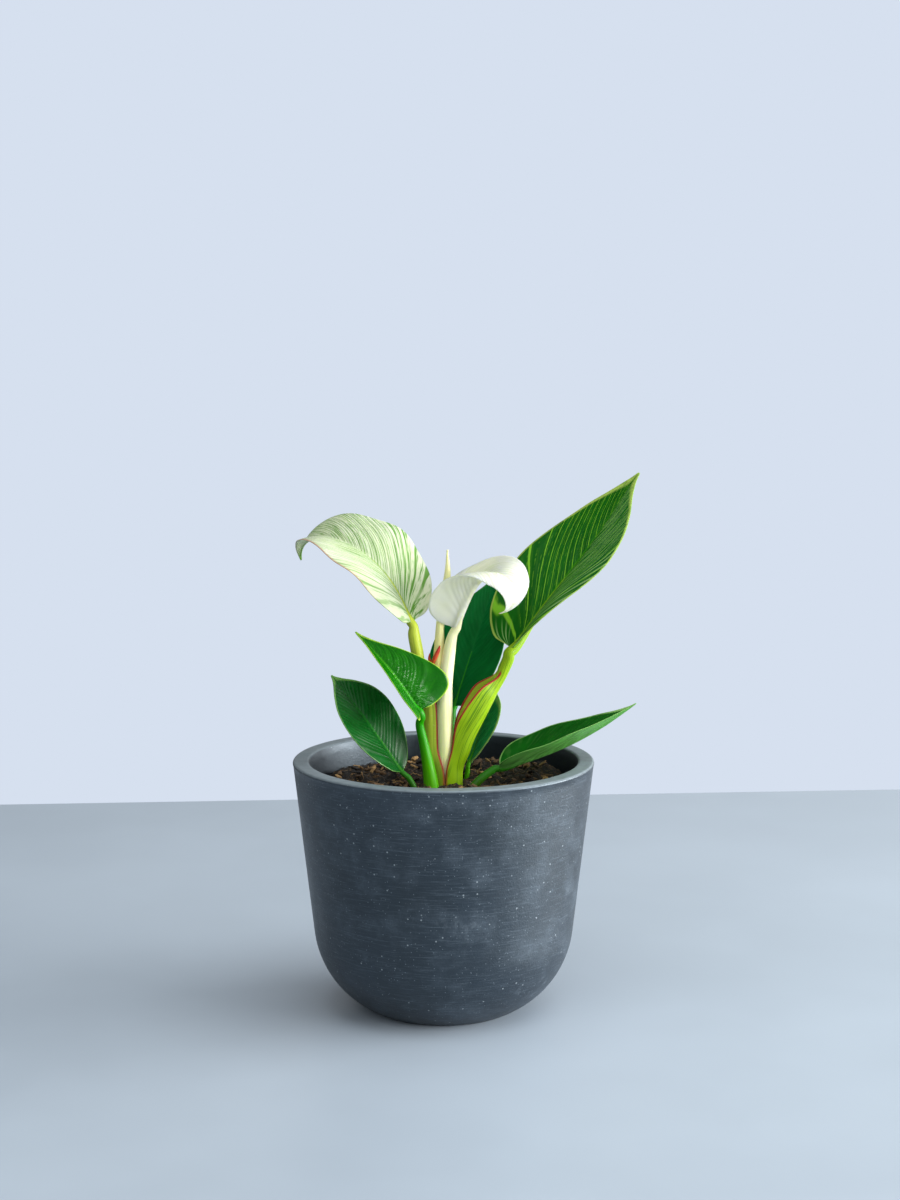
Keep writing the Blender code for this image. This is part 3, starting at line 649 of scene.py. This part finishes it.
def green_blade(name, base, other, rim, rib, under, lines=None, rim_width=0.35, rough=0.38, ripple=0,
                pale_right=None, shine=0.3, hairs=None):
    """Waxy green blade: darker between its side veins, pale along midrib and margin, paler below."""
    s = BladeSurface(name, Subsurface_Weight=0.05, Subsurface_Radius=(0.4, 1, 0.2),
                     Subsurface_Scale=0.0012, Specular_IOR_Level=shine)
    across, along = s.across, s.along
    mottle = s.drawn_out(14, 2.2, 4, 0.6)
    s.between(s.ramp(mottle, 0.35, 0.68), base, other)
    # The right half painted paler; on the striped blade this stands in for its greyish sheen: painted sheen
    if pale_right:
        s.paint(s.ramp(across, 0.02, -0.25, 0, 0.8), pale_right)
    s.paint(s.lines(44, 0.25, (0.40, 0.70)), lines or rib, 0.09)
    if lines:
        s.paint(s.lines(16, 0.065, (0.30, 0.46), wander=0.5), lines, 0.9)
        s.paint(s.lines(36.8, 0.12, (0.44, 0.58), 0.6, 9, shift=0.37), lines, 0.35)
    if hairs:
        drawn = s.lines(40, 0.22, (0.36, 0.56), 0.5, 2)
        s.paint(s.times(drawn, s.ramp(across, 0.02, -0.12)), hairs, 0.75)
        # On the lobe beside the stalk the lines run along the margin
        shift = s.math("MULTIPLY_ADD", s.far, 8, s.times(mottle, 1.2))
        lobe = s.times(s.ramp(along, 0.20, 0.08), s.ramp(across, 0.35, 0.6))
        s.paint(s.times(s.ramp(s.off_middle(shift), 0.24, 0.10), lobe), hairs, 0.7)
    s.paint(s.times(s.ramp(s.fact("rib"), 0.7, 0.15), s.ramp(along, 1, 0.25, 0.15, 0.85)), rib)
    margin = s.ramp(s.fact("rim"), rim_width, rim_width*0.3)
    worn = s.ramp(s.noise(s.place(), 260), 0.3, 0.5, 0.5, 1)
    s.paint(s.times(margin, worn), rim)
    below = s.mix(s.ramp(mottle, 0.3, 0.7), rgb(*under), rgb(*[v*0.82 for v in under]))
    s.colour = s.mix(s.fact("under"), s.colour, below)
    s.ridges(22, 0.00005)
    s.bump(s.noise(s.place(), 900, 3), 0.00005, 0.3)
    if ripple:
        crease = s.noise(s.vector(s.times(along, 34), s.times(across, 3.2)), 1)
        where = s.times(s.ramp(s.fact("rib"), 8, 2), s.ramp(along, 0.8, 0.3))
        s.bump(s.times(crease, where), 0.0011, ripple)
    return s.finish(s.ramp(s.noise(s.place(), 120, 4), 0.3, 0.75, rough - 0.04, rough + 0.12))


def pale_blade(name, base, other, streak, amount, lines, line_amount, tip, tip_from, rib, rib_until, under,
               translucent, pink=0, painted_bulge_light=None, soft=0.0010):
    """Cream blade with green streaks that follow its side veins."""
    s = BladeSurface(name, Subsurface_Weight=translucent, Subsurface_Radius=(1, 1, 0.6),
                     Subsurface_Scale=soft, Specular_IOR_Level=0.35)
    across, along = s.across, s.along
    s.between(s.ramp(s.drawn_out(9, 1.6, 3), 0.32, 0.68), base, other)
    # The left side, where the blade bulges, painted lighter: painted light
    if painted_bulge_light:
        s.paint(s.ramp(across, 0.1, 0.75), painted_bulge_light, 0.8)
    where = s.ramp(across, 0.05, 0.6, 1, 0.6)
    faint = s.ramp(s.drawn_out(313.5, 8), 0.50, 0.66)
    strong = s.ramp(s.drawn_out(165, 1.5, 3, 0.6), 0.52, 0.60)
    s.paint(s.times(faint, where), [v + 30 for v in streak], 0.4*amount)
    s.paint(s.times(strong, where), streak, amount)
    s.paint(s.times(s.lines(42, 0.18, (0.37, 0.52), 1, 1.6), where), lines, line_amount)
    s.paint(s.times(s.ramp(s.fact("rib"), 0.6, 0.1), s.ramp(along, rib_until, rib_until*0.5)), rib, 0.85)
    if pink:
        blush = s.times(s.ramp(s.fact("rim"), 0.7, 0.1), s.ramp(across, 0, 0.2))
        s.paint(s.times(blush, s.ramp(along, 0.2, 0.4)), (222, 160, 140), pink)
    s.paint(s.fact("under"), under)
    s.paint(s.ramp(along, tip_from, 1), tip)
    s.ridges(24, 0.00008)
    s.bump(s.noise(s.place(), 800, 3), 0.00006, 0.3)
    return s.finish(s.ramp(s.noise(s.place(), 150, 3), 0.3, 0.7, 0.36, 0.5))


def stalk_material(name, low, high, stripe, stripe_amount, ends=(84, 125), lip=(150, 36, 42),
                   inside=(190, 200, 120), speckle=0, stripes=7, sink=0.15):
    """Smooth fleshy stalk with fine stripes up it. A sheath's lips are red and its hollow side is paler."""
    s = Surface(name, Subsurface_Weight=sink, Subsurface_Radius=(0.8, 1, 0.3), Subsurface_Scale=0.0014,
                Specular_IOR_Level=0.2)
    cloud = s.noise(s.place(), 160, 3)
    climb = s.math("ADD", s.fact("height"), s.times(cloud, 8))
    s.between(s.ramp(climb, ends[0] + 4, ends[1] + 4), low, high)
    around = s.vector(s.times(s.fact("turn"), stripes), s.times(s.fact("face"), stripes),
                      s.times(s.fact("length"), 0.045))
    s.paint(s.ramp(s.noise(around, 1, 3, 0.6), 0.50, 0.62), stripe, stripe_amount)
    if speckle:
        s.paint(s.ramp(s.noise(s.place(), 900), 0.60, 0.70), inside, speckle)
    s.paint(s.fact("hollow"), inside, 0.8)
    s.paint(s.ramp(s.fact("lip"), 0.30, 0.75), lip)
    s.bump(s.noise(around, 1.5, 3), 0.0001, 0.4)
    return s.finish(s.ramp(cloud, 0.3, 0.7, 0.31, 0.46))


def pot_material():
    """Dark satin slate: pale specks, brushed lines, stains, a rim top painted light as wear and highlight,
    painted shade inside.
    """
    s = Surface("pot_slate", Specular_IOR_Level=0.85, Specular_Tint=(0.70, 0.86, 1, 1))
    here = s.place()
    s.between(s.ramp(s.noise(here, 22, 4, 0.6), 0.30, 0.72), (5, 10, 15), (25, 33, 42))
    cloud = s.noise(here, 75, 5, 0.65)
    s.paint(s.ramp(cloud, 0.45, 0.72, 0, 0.6), (66, 76, 86))
    brushed = s.noise(s.stretch(here, (1, 1, 26)), 110, 4, 0.7)
    s.paint(s.ramp(brushed, 0.50, 0.72, 0, 0.45), (94, 106, 117))
    grain = s.noise(here, 1500)
    s.paint(s.ramp(grain, 0.35, 0.7, 0, 0.4), (20, 27, 34))
    for scale, rare, size, tone in ((420, 0.80, 0.17, (150, 160, 166)),
                                    (1000, 0.66, 0.22, (116, 128, 137))):
        dots = s.node("TexVoronoi", {"Vector": here, "Scale": scale})
        chance = s.node("SeparateColor", {0: dots.outputs["Color"]}).outputs[0]
        spot = s.ramp(dots.outputs["Distance"], size, size*0.4)
        s.paint(s.times(spot, s.math("GREATER_THAN", chance, rare)), tone, 0.8)
    scratch = s.noise(s.stretch(here, (1, 1, 14), (0.5, 0.2, 0.9)), 90, 4, 0.7)
    s.paint(s.ramp(scratch, 0.66, 0.72, 0, 0.3), (112, 121, 128))
    stain = s.noise(here, 38, 6, 0.75)
    s.paint(s.ramp(stain, 0.60, 0.72, 0, 0.45), (104, 114, 122))
    # The rim's top painted lighter: partly wear, partly a painted highlight from the light above
    worn = s.ramp(s.noise(here, 300, 4), 0.2, 0.7, 0.7, 1)
    s.paint(s.times(s.fact("lip"), worn), (118, 130, 136))
    # The inside of the pot painted near-black: painted shade in its hollow
    s.paint(s.fact("inner"), (3, 9, 18), 0.9)
    s.bump(grain, 0.00012, 0.5)
    s.bump(brushed, 0.00010, 0.4)
    s.bump(cloud, 0.0003, 0.3)
    return s.finish(s.ramp(cloud, 0.3, 0.75, 0.38, 0.52))


def soil_material():
    """Damp coir and peat: hollows painted near-black as shade, brown crumbs and tan fibres."""
    s = Surface("soil_coir")
    here = s.place()
    crumbs = s.noise(here, 420, 5, 0.7)
    s.between(s.ramp(s.noise(here, 95, 3), 0.3, 0.7), (9, 6, 4), (40, 29, 18))
    s.paint(s.ramp(crumbs, 0.50, 0.70), (116, 90, 58))
    threads = s.noise(s.stretch(here, (1, 5, 2), (0.3, 0.4, 0.8)), 520, 3)
    s.paint(s.ramp(threads, 0.66, 0.72), (176, 142, 92))
    # Pits, and the body's sides and underside, painted darker: painted shade
    s.paint(s.fact("pit_shade"), (14, 9, 6))
    s.bump(crumbs, 0.0011, 0.9)
    return s.finish(s.ramp(crumbs, 0.3, 0.7, 0.7, 0.95))


def chip_material():
    """Bark: each chip from dark umber to rusty tan, with grain along it."""
    s = Surface("soil_chip")
    tint = s.fact("tint")
    s.between(s.ramp(tint, 0.15, 0.7), (24, 16, 10), (108, 80, 48))
    s.paint(s.ramp(tint, 0.78, 0.95), (186, 146, 92))
    grain = s.noise(s.place(), 650, 5, 0.7)
    s.paint(s.ramp(grain, 0.40, 0.72, 0, 0.75), (20, 13, 8))
    s.bump(grain, 0.0006, 0.8)
    return s.finish(s.ramp(grain, 0.3, 0.7, 0.65, 0.9))


def floor_material():
    """Pale satin table with a faint cloudiness."""
    s = Surface("floor_pale")
    cloud = s.noise(s.place(), 5, 4, 0.6)
    s.between(s.ramp(cloud, 0.3, 0.7), (168, 181, 194), (175, 188, 201))
    return s.finish(s.ramp(cloud, 0.3, 0.7, 0.38, 0.46))


# Pot and soil

def bowl_arc(radius, low, steps):
    """Points down the round bottom, from the side wall to the height "low", at a radius from its centre."""
    taper = radians(SIDE_TAPER)
    side = RIM_RADIUS - (POT_HEIGHT - BOWL_TOP)*tan(taper)
    centre_x, centre_z = side - BOWL_RADIUS*cos(taper), BOWL_TOP + BOWL_RADIUS*sin(taper)
    first, last = -taper, -asin((centre_z - low)/radius)
    return [(centre_x + radius*cos(a), centre_z + radius*sin(a)) for a in np.linspace(first, last, steps)]


def wall_radius(z, inset=0.0):
    """Radius of the pot's straight side at a height, or of a cone that far inside it."""
    taper = radians(SIDE_TAPER)
    return RIM_RADIUS - (POT_HEIGHT - z)*tan(taper) - inset/cos(taper)


def lathe(profile, sides):
    """A closed form turned round Z from a profile of (radius, height), its first and last on the axis."""
    turn = np.linspace(0, 2*pi, sides, endpoint=False)
    ring = np.array([[(r*cos(a), r*sin(a), z) for a in turn] for r, z in profile[1:-1]])
    points = np.concatenate([[[0, 0, profile[0][1]]], ring.reshape(-1, 3), [[0, 0, profile[-1][1]]]])
    faces = [tuple(i + 1 for i in face[::-1]) for face in grid_faces(len(ring), sides, closed=True)]
    end, last = len(points) - 1, 1 + (len(ring) - 1)*sides
    faces += [(0, 1 + k, 1 + (k + 1) % sides) for k in range(sides)]
    faces += [(end, last + (k + 1) % sides, last + k) for k in range(sides)]
    return points, faces


def add_pot():
    """The turned pot, with both edges of its flat rim rounded."""
    inside = bowl_arc(BOWL_RADIUS - WALL, FLOOR_THICKNESS, 18)
    outside = bowl_arc(BOWL_RADIUS, 0, 26)
    walls = np.linspace(BOWL_TOP, POT_HEIGHT - 1.2, 26)
    inner_wall = [(wall_radius(z, WALL), z) for z in walls[1:]]
    outer_wall = [(wall_radius(z), z) for z in walls[:0:-1]]
    rim = []
    for centre, start, end in ((wall_radius(POT_HEIGHT, WALL) + EDGE_ROUND, 180, 90),
                               (RIM_RADIUS - EDGE_ROUND, 90, -SIDE_TAPER)):
        rim += [(centre + EDGE_ROUND*cos(radians(a)), POT_HEIGHT - EDGE_ROUND + EDGE_ROUND*sin(radians(a)))
                for a in np.linspace(start, end, 8)]
    start, end = np.array(rim[7]), np.array(rim[8])
    flat = [tuple(start + (end - start)*share) for share in (0.25, 0.5, 0.75)]
    rim = rim[:8] + flat + rim[8:]
    floor = [(r, FLOOR_THICKNESS) for r in (0, 6, 12)]
    foot = [(r, 0) for r in (14, 7, 0)]
    profile = floor + inside[::-1] + inner_wall + rim + outer_wall + outside + foot
    points, faces = lathe([(float(r), float(z)) for r, z in profile], POT_SIDES)
    # Mask of the rim's top, which its material paints lighter as wear and painted highlight
    lip = np.clip((points[:, 2] - (POT_HEIGHT - 0.75*EDGE_ROUND))/(0.5*EDGE_ROUND), 0, 1)
    # Mask of the pot's inside, which its material paints near-black as shade
    inner = np.zeros(len(points))
    inner[:1 + (len(floor) + len(inside) + len(inner_wall) - 1)*POT_SIDES] = 1
    place_piece(add_mesh("pot_turned", points, faces, {"lip": lip, "inner": inner}, pot_material()), "pot")


def soil_height(x, y):
    """Top of the soil: lumps on a level that falls away beside the wall."""
    height = SOIL_LEVEL + 0.5*sin(0.31*x + 1.1)*cos(0.27*y)
    height += 0.35*sin(0.83*x + 0.6*y)
    height += 0.3*cos(0.9*y - 0.35*x)
    for cx, cy, radius, lift in LUMPS:
        height += lift*np.exp(-((x - cx)**2 + (y - cy)**2)/radius**2)
    edge = sqrt(x*x + y*y)/wall_radius(SOIL_LEVEL, WALL)
    return height - SOIL_EDGE_DROP*max(0.0, edge - EDGE_DROP_FROM)/(1 - EDGE_DROP_FROM)


def crumbly(x, y):
    """Small clods on top of the soil's level, and how deep in a pit the point is, which is painted as shade.
    """
    large = noise.noise(Vector((x*0.22, y*0.22, 3.0)))
    middle = noise.noise(Vector((x*0.55, y*0.55, 9.0)))
    small = noise.noise(Vector((x*1.4, y*1.4, 5.0)))
    relief = 0.9*large + 1.0*abs(middle) + 0.45*small - 0.35
    return relief, min(1.0, max(0.0, -0.9*relief - 0.15))


def add_soil():
    """The soil's body: a crumbly top, calmer beside the wall, and a plain underside in the bowl."""
    gap = WALL + SOIL_GAP
    edge, side = wall_radius(SOIL_LEVEL - 2, gap), SOIL_LEVEL - 8
    top = [(edge*(r/SOIL_RINGS)**0.9, SOIL_LEVEL) for r in range(SOIL_RINGS + 1)]
    lining = bowl_arc(BOWL_RADIUS - gap, FLOOR_THICKNESS + SOIL_GAP, 6)
    profile = top + [(wall_radius(side, gap), side)] + lining + [(0, FLOOR_THICKNESS + SOIL_GAP)]
    points, faces = lathe(profile, SOIL_SIDES)
    # Painted shade: pits by their depth, the sides and underside of the body evenly
    pit_shade = np.full(len(points), 0.6)
    points[0, 2], pit_shade[0] = soil_height(0, 0), 0
    for i in range(1, 1 + SOIL_RINGS*SOIL_SIDES):
        x, y = points[i, :2]
        relief, pit_shade[i] = crumbly(x, y)
        calm = min(1.0, (edge - sqrt(x*x + y*y))/1.5 + 0.25)
        points[i, 2] = soil_height(x, y) + relief*calm
    place_piece(add_mesh("soil_ground", points, faces, {"pit_shade": pit_shade}, soil_material()), "soil")


def chip(rand, size):
    """A splintered flake of bark: a rough slab with uneven ends."""
    long, wide, deep = (size*rand.uniform(*span) for span in ((0.8, 1.6), (0.4, 0.8), (0.22, 0.5)))
    rows, sides = 6, 8
    points = []
    for r in range(rows):
        share = r/(rows - 1)
        swell = (sin(pi*(0.08 + 0.84*share)))**0.45
        for k in range(sides):
            a = 2*pi*k/sides + 0.2*rand.random()
            rough = rand.uniform(0.75, 1.1)
            points.append(((share - 0.5)*2*long + rand.uniform(-0.12, 0.12)*size,
                           wide*swell*rough*cos(a), deep*swell*rough*sin(a)))
    return np.array(points), tube_faces(rows, sides)


def spun(points, a, b, angle):
    """The points turned in the plane of two of their axes."""
    points = points.copy()
    points[:, a], points[:, b] = (points[:, a]*cos(angle) - points[:, b]*sin(angle),
                                  points[:, a]*sin(angle) + points[:, b]*cos(angle))
    return points


def random_spot(rand, reach):
    """A random place on the soil: its distance from the middle, x and y."""
    radius, a = reach*sqrt(rand.random()), rand.uniform(0, 2*pi)
    return radius, radius*cos(a), radius*sin(a)


def near_stalks(x, y, clear):
    return (x - 1)**2/clear[0] + y**2/clear[1] < 1


def clod_height(x, y):
    return soil_height(x, y) + crumbly(x, y)[0]


def add_chips(surface):
    """Bark and coir lumps, seated on the soil and clear of the stalks."""
    rand = random.Random(SEED)
    points, faces, tints = [], [], []
    inner = wall_radius(SOIL_LEVEL, WALL) - 3.0
    made = 0
    while made < CHIPS:
        radius, x, y = random_spot(rand, inner)
        size = rand.choice(CHIP_SIZES)
        if near_stalks(x, y, CHIPS_CLEAR) or radius + size*1.7 > inner + 2.0:
            continue
        body, sides = chip(rand, size)
        yaw, tip = rand.uniform(0, 2*pi), rand.uniform(-0.5, 0.5)
        body = spun(spun(body, 0, 2, tip), 0, 1, yaw)
        start = len(points)
        points += (body + (x, y, clod_height(x, y) + 0.12*size)).tolist()
        faces += [tuple(start + i for i in face) for face in sides]
        tints += [rand.random()]*len(body)
        made += 1
    place_piece(add_mesh("soil_bark", points, faces, {"tint": tints}, surface, smooth=False))


def add_fibres(surface):
    """Coir threads that lie bent over the soil."""
    rand = random.Random(SEED + 1)
    points, faces, tints = [], [], []
    inner = wall_radius(SOIL_LEVEL, WALL) - 4.0
    steps, sides = 9, 5
    made = 0
    while made < FIBRES:
        _, x, y = random_spot(rand, inner)
        heading = rand.uniform(0, 2*pi)
        if near_stalks(x, y, FIBRES_CLEAR):
            continue
        reach, turn, thick = rand.uniform(0.35, 0.8), rand.uniform(-0.35, 0.35), rand.uniform(0.08, 0.2)
        line = []
        for i in range(steps):
            line.append((x, y, clod_height(x, y) + (0.5*sin(pi*i/(steps - 1)) + 0.15)))
            x, y = x + reach*cos(heading), y + reach*sin(heading)
            heading += turn
        if max(sqrt(p[0]**2 + p[1]**2) for p in line) > inner + 1:
            continue
        line = np.array(line)
        _, out, over = frames_along(line, (0, 0, 1))
        start = len(points)
        for i in range(steps):
            size = thick*(0.4 + 0.6*sin(pi*(i + 0.5)/steps))
            for k in range(sides):
                b = 2*pi*k/sides
                points.append((line[i] + size*(cos(b)*out[i] + sin(b)*over[i])).tolist())
        faces += [tuple(start + i for i in face) for face in tube_faces(steps, sides)]
        tints += [rand.uniform(0.55, 1.0)]*(steps*sides)
        made += 1
    place_piece(add_mesh("soil_fibre", points, faces, {"tint": tints}, surface))


# The object

add_pot()
add_soil()
bark = chip_material()
add_chips(bark)
add_fibres(bark)

LEAVES = {
    "blade_arched_cream": pale_blade(
        "leaf_cream", (214, 220, 194), (204, 215, 176), streak=(84, 142, 30), amount=0.95,
        lines=(86, 144, 30), line_amount=0.95, tip=(92, 148, 24), tip_from=0.82, rib=(126, 164, 44),
        rib_until=0.6, under=(196, 208, 168), translucent=0.15, pink=0.8),
    # Its left bulge is painted lighter: painted light
    "blade_hooded_white": pale_blade(
        "leaf_white", (226, 227, 212), (222, 225, 198), streak=(178, 204, 96), amount=0.45,
        lines=(172, 200, 96), line_amount=0.3, tip=(206, 146, 84), tip_from=0.94, rib=(206, 220, 150),
        rib_until=0.9, under=(238, 240, 212), translucent=0.9, painted_bulge_light=(238, 240, 208), soft=0.003),
    # Its paler right half is a painted sheen
    "blade_striped_tall": green_blade(
        "leaf_striped", (1, 84, 1), (6, 98, 3), rim=(170, 196, 90), rib=(60, 136, 20), under=(84, 140, 50),
        lines=(128, 192, 42), rim_width=0.8, pale_right=(16, 98, 30), rough=0.42, shine=0.09,
        hairs=(148, 190, 114)),
    "blade_back_green": green_blade(
        "leaf_back", (1, 96, 38), (6, 108, 46), rim=(52, 118, 58), rib=(22, 112, 52), under=(48, 116, 56),
        shine=0.06),
    "blade_left_middle": green_blade(
        "leaf_middle", (7, 86, 1), (22, 104, 4), rim=(150, 190, 60), rib=(64, 150, 20), under=(80, 150, 36),
        rough=0.24, ripple=0.9, rim_width=0.5, shine=0.14),
    "blade_left_low": green_blade(
        "leaf_low", (4, 72, 16), (10, 86, 26), rim=(104, 156, 70), rib=(26, 112, 28), under=(50, 112, 40),
        rough=0.26, shine=0.3),
    "blade_back_small": green_blade(
        "leaf_small", (24, 134, 74), (46, 152, 90), rim=(166, 196, 116), rib=(80, 140, 84),
        under=(110, 168, 84), rim_width=1.2, shine=0.12),
    "blade_right_low": green_blade(
        "leaf_right", (3, 84, 9), (12, 98, 16), rim=(150, 196, 116), rib=(150, 190, 120),
        under=(84, 150, 66), rim_width=0.5, shine=0.15, pale_right=(70, 132, 60)),
}
for blade, leaf_surface in LEAVES.items():
    add_leaf(blade, leaf_surface)

olive = stalk_material("stalk_olive", (132, 160, 40), (186, 200, 66), (96, 134, 24), 0.5, speckle=0.25)
lime = stalk_material("stalk_lime", (134, 174, 16), (142, 178, 18), (58, 112, 8), 0.8, lip=(160, 36, 40),
                      inside=(190, 208, 70), stripes=11)
cream = stalk_material("stalk_cream", (232, 234, 170), (246, 246, 196), (190, 206, 110), 0.25, sink=0.3)
spring = stalk_material("stalk_spring", (88, 176, 4), (30, 140, 2), (24, 124, 2), 0.4, ends=(80, 108))
dark = stalk_material("stalk_dark", (56, 96, 16), (40, 116, 20), (32, 78, 12), 0.4, ends=(80, 90))
STALK_SURFACES = {
    "stalk_hooded_white": cream, "stalk_back_green": spring, "stalk_left_middle": spring,
    "stalk_left_low": dark, "stalk_back_small": spring, "stalk_right_low": dark,
}
for stalk, surface in STALK_SURFACES.items():
    add_round_stalk(stalk.replace("stalk", "petiole"), stalk, stalk_path(stalk, STALKS[stalk]), surface)
add_sheathed_stalk("stalk_striped_tall", lime)
add_sheathed_stalk("stalk_arched_cream", olive)
butter = stalk_material("leaf_rolled", (226, 214, 120), (240, 236, 178), (196, 196, 90), 0.3, ends=(118, 150))
add_round_stalk("rolled_leaf", "unopened_leaf", SPEAR, butter, sides=24)
rusty = stalk_material("sheath_rust", (206, 92, 48), (186, 48, 44), (134, 34, 32), 0.5, ends=(128, 135))
for tip, tip_path in SHEATH_TIPS.items():
    add_round_stalk(tip, None, tip_path, rusty, steps=30, sides=14)

# Floor, light and camera

# The table's far edge runs a little away to the right
FLOOR_NEAR, FLOOR_FAR, FLOOR_SKEW, FLOOR_SIDE = -2500, 345, 190, 2500
corners = [(-FLOOR_SIDE, FLOOR_NEAR, 0), (FLOOR_SIDE, FLOOR_NEAR, 0),
           (FLOOR_SIDE, FLOOR_FAR + FLOOR_SKEW, 0), (-FLOOR_SIDE, FLOOR_FAR - FLOOR_SKEW, 0)]
add_mesh("floor", corners, [(0, 1, 2, 3)], {}, floor_material())

# The room is brighter on the window's side. To the camera it is an even wall.
world = bpy.data.worlds.new("studio")
bpy.context.scene.world = world
room = Nodes(world, "Background")
direction = room.node("TexCoord", {}).outputs["Generated"]
towards_light = room.node("SeparateXYZ", {0: direction}).outputs["X"]
light = room.node("MapRange", {
    "Value": towards_light, "From Min": -0.3, "From Max": 1, "To Min": 0.24, "To Max": 1.35,
}).outputs["Result"]
seen = room.node("LightPath", {}).outputs["Is Camera Ray"]
strength = room.node("Mix", {"Factor": seen, "A": light, "B": 1}).outputs["Result"]
room.put(room.shader.inputs["Strength"], strength)
room.put(room.shader.inputs["Color"], room.mix(seen, rgb(228, 231, 234), rgb(214, 224, 239)))

# Name, place, aim and size in metres, power in watts, colour
LIGHTS = [
    ("window", (1.3, -0.16, 0.28), (0, 0, 0.08), (1.5, 0.42), 41, (1, 0.985, 0.96)),
    ("sky", (0.2, -0.2, 1.4), (0, 0, 0.09), (1.2, 1.2), 8.5, (0.96, 0.985, 1)),
    ("fill", (-0.45, -1, 0.85), (0, 0, 0.13), (1, 1), 3.6, (1, 1, 0.98)),
]
for name, place, aim, size, power, colour in LIGHTS:
    lamp = bpy.data.lights.new(name, "AREA")
    lamp.shape = "RECTANGLE"
    lamp.size, lamp.size_y = size
    lamp.energy, lamp.color = power, colour
    obj = add_object(name, lamp)
    obj.location = place
    obj.rotation_euler = (Vector(aim) - Vector(place)).to_track_quat("-Z", "Y").to_euler()

camera_data = bpy.data.cameras.new("camera")
camera_data.lens = 60
camera_data.sensor_width = 36
camera = add_object("camera", camera_data)
camera.location = (0.0024, -0.7254, 0.243)
camera.rotation_euler = (pi/2 - 0.125, 0, 0)
bpy.context.scene.camera = camera
bpy.context.scene.view_settings.view_transform = "Standard"
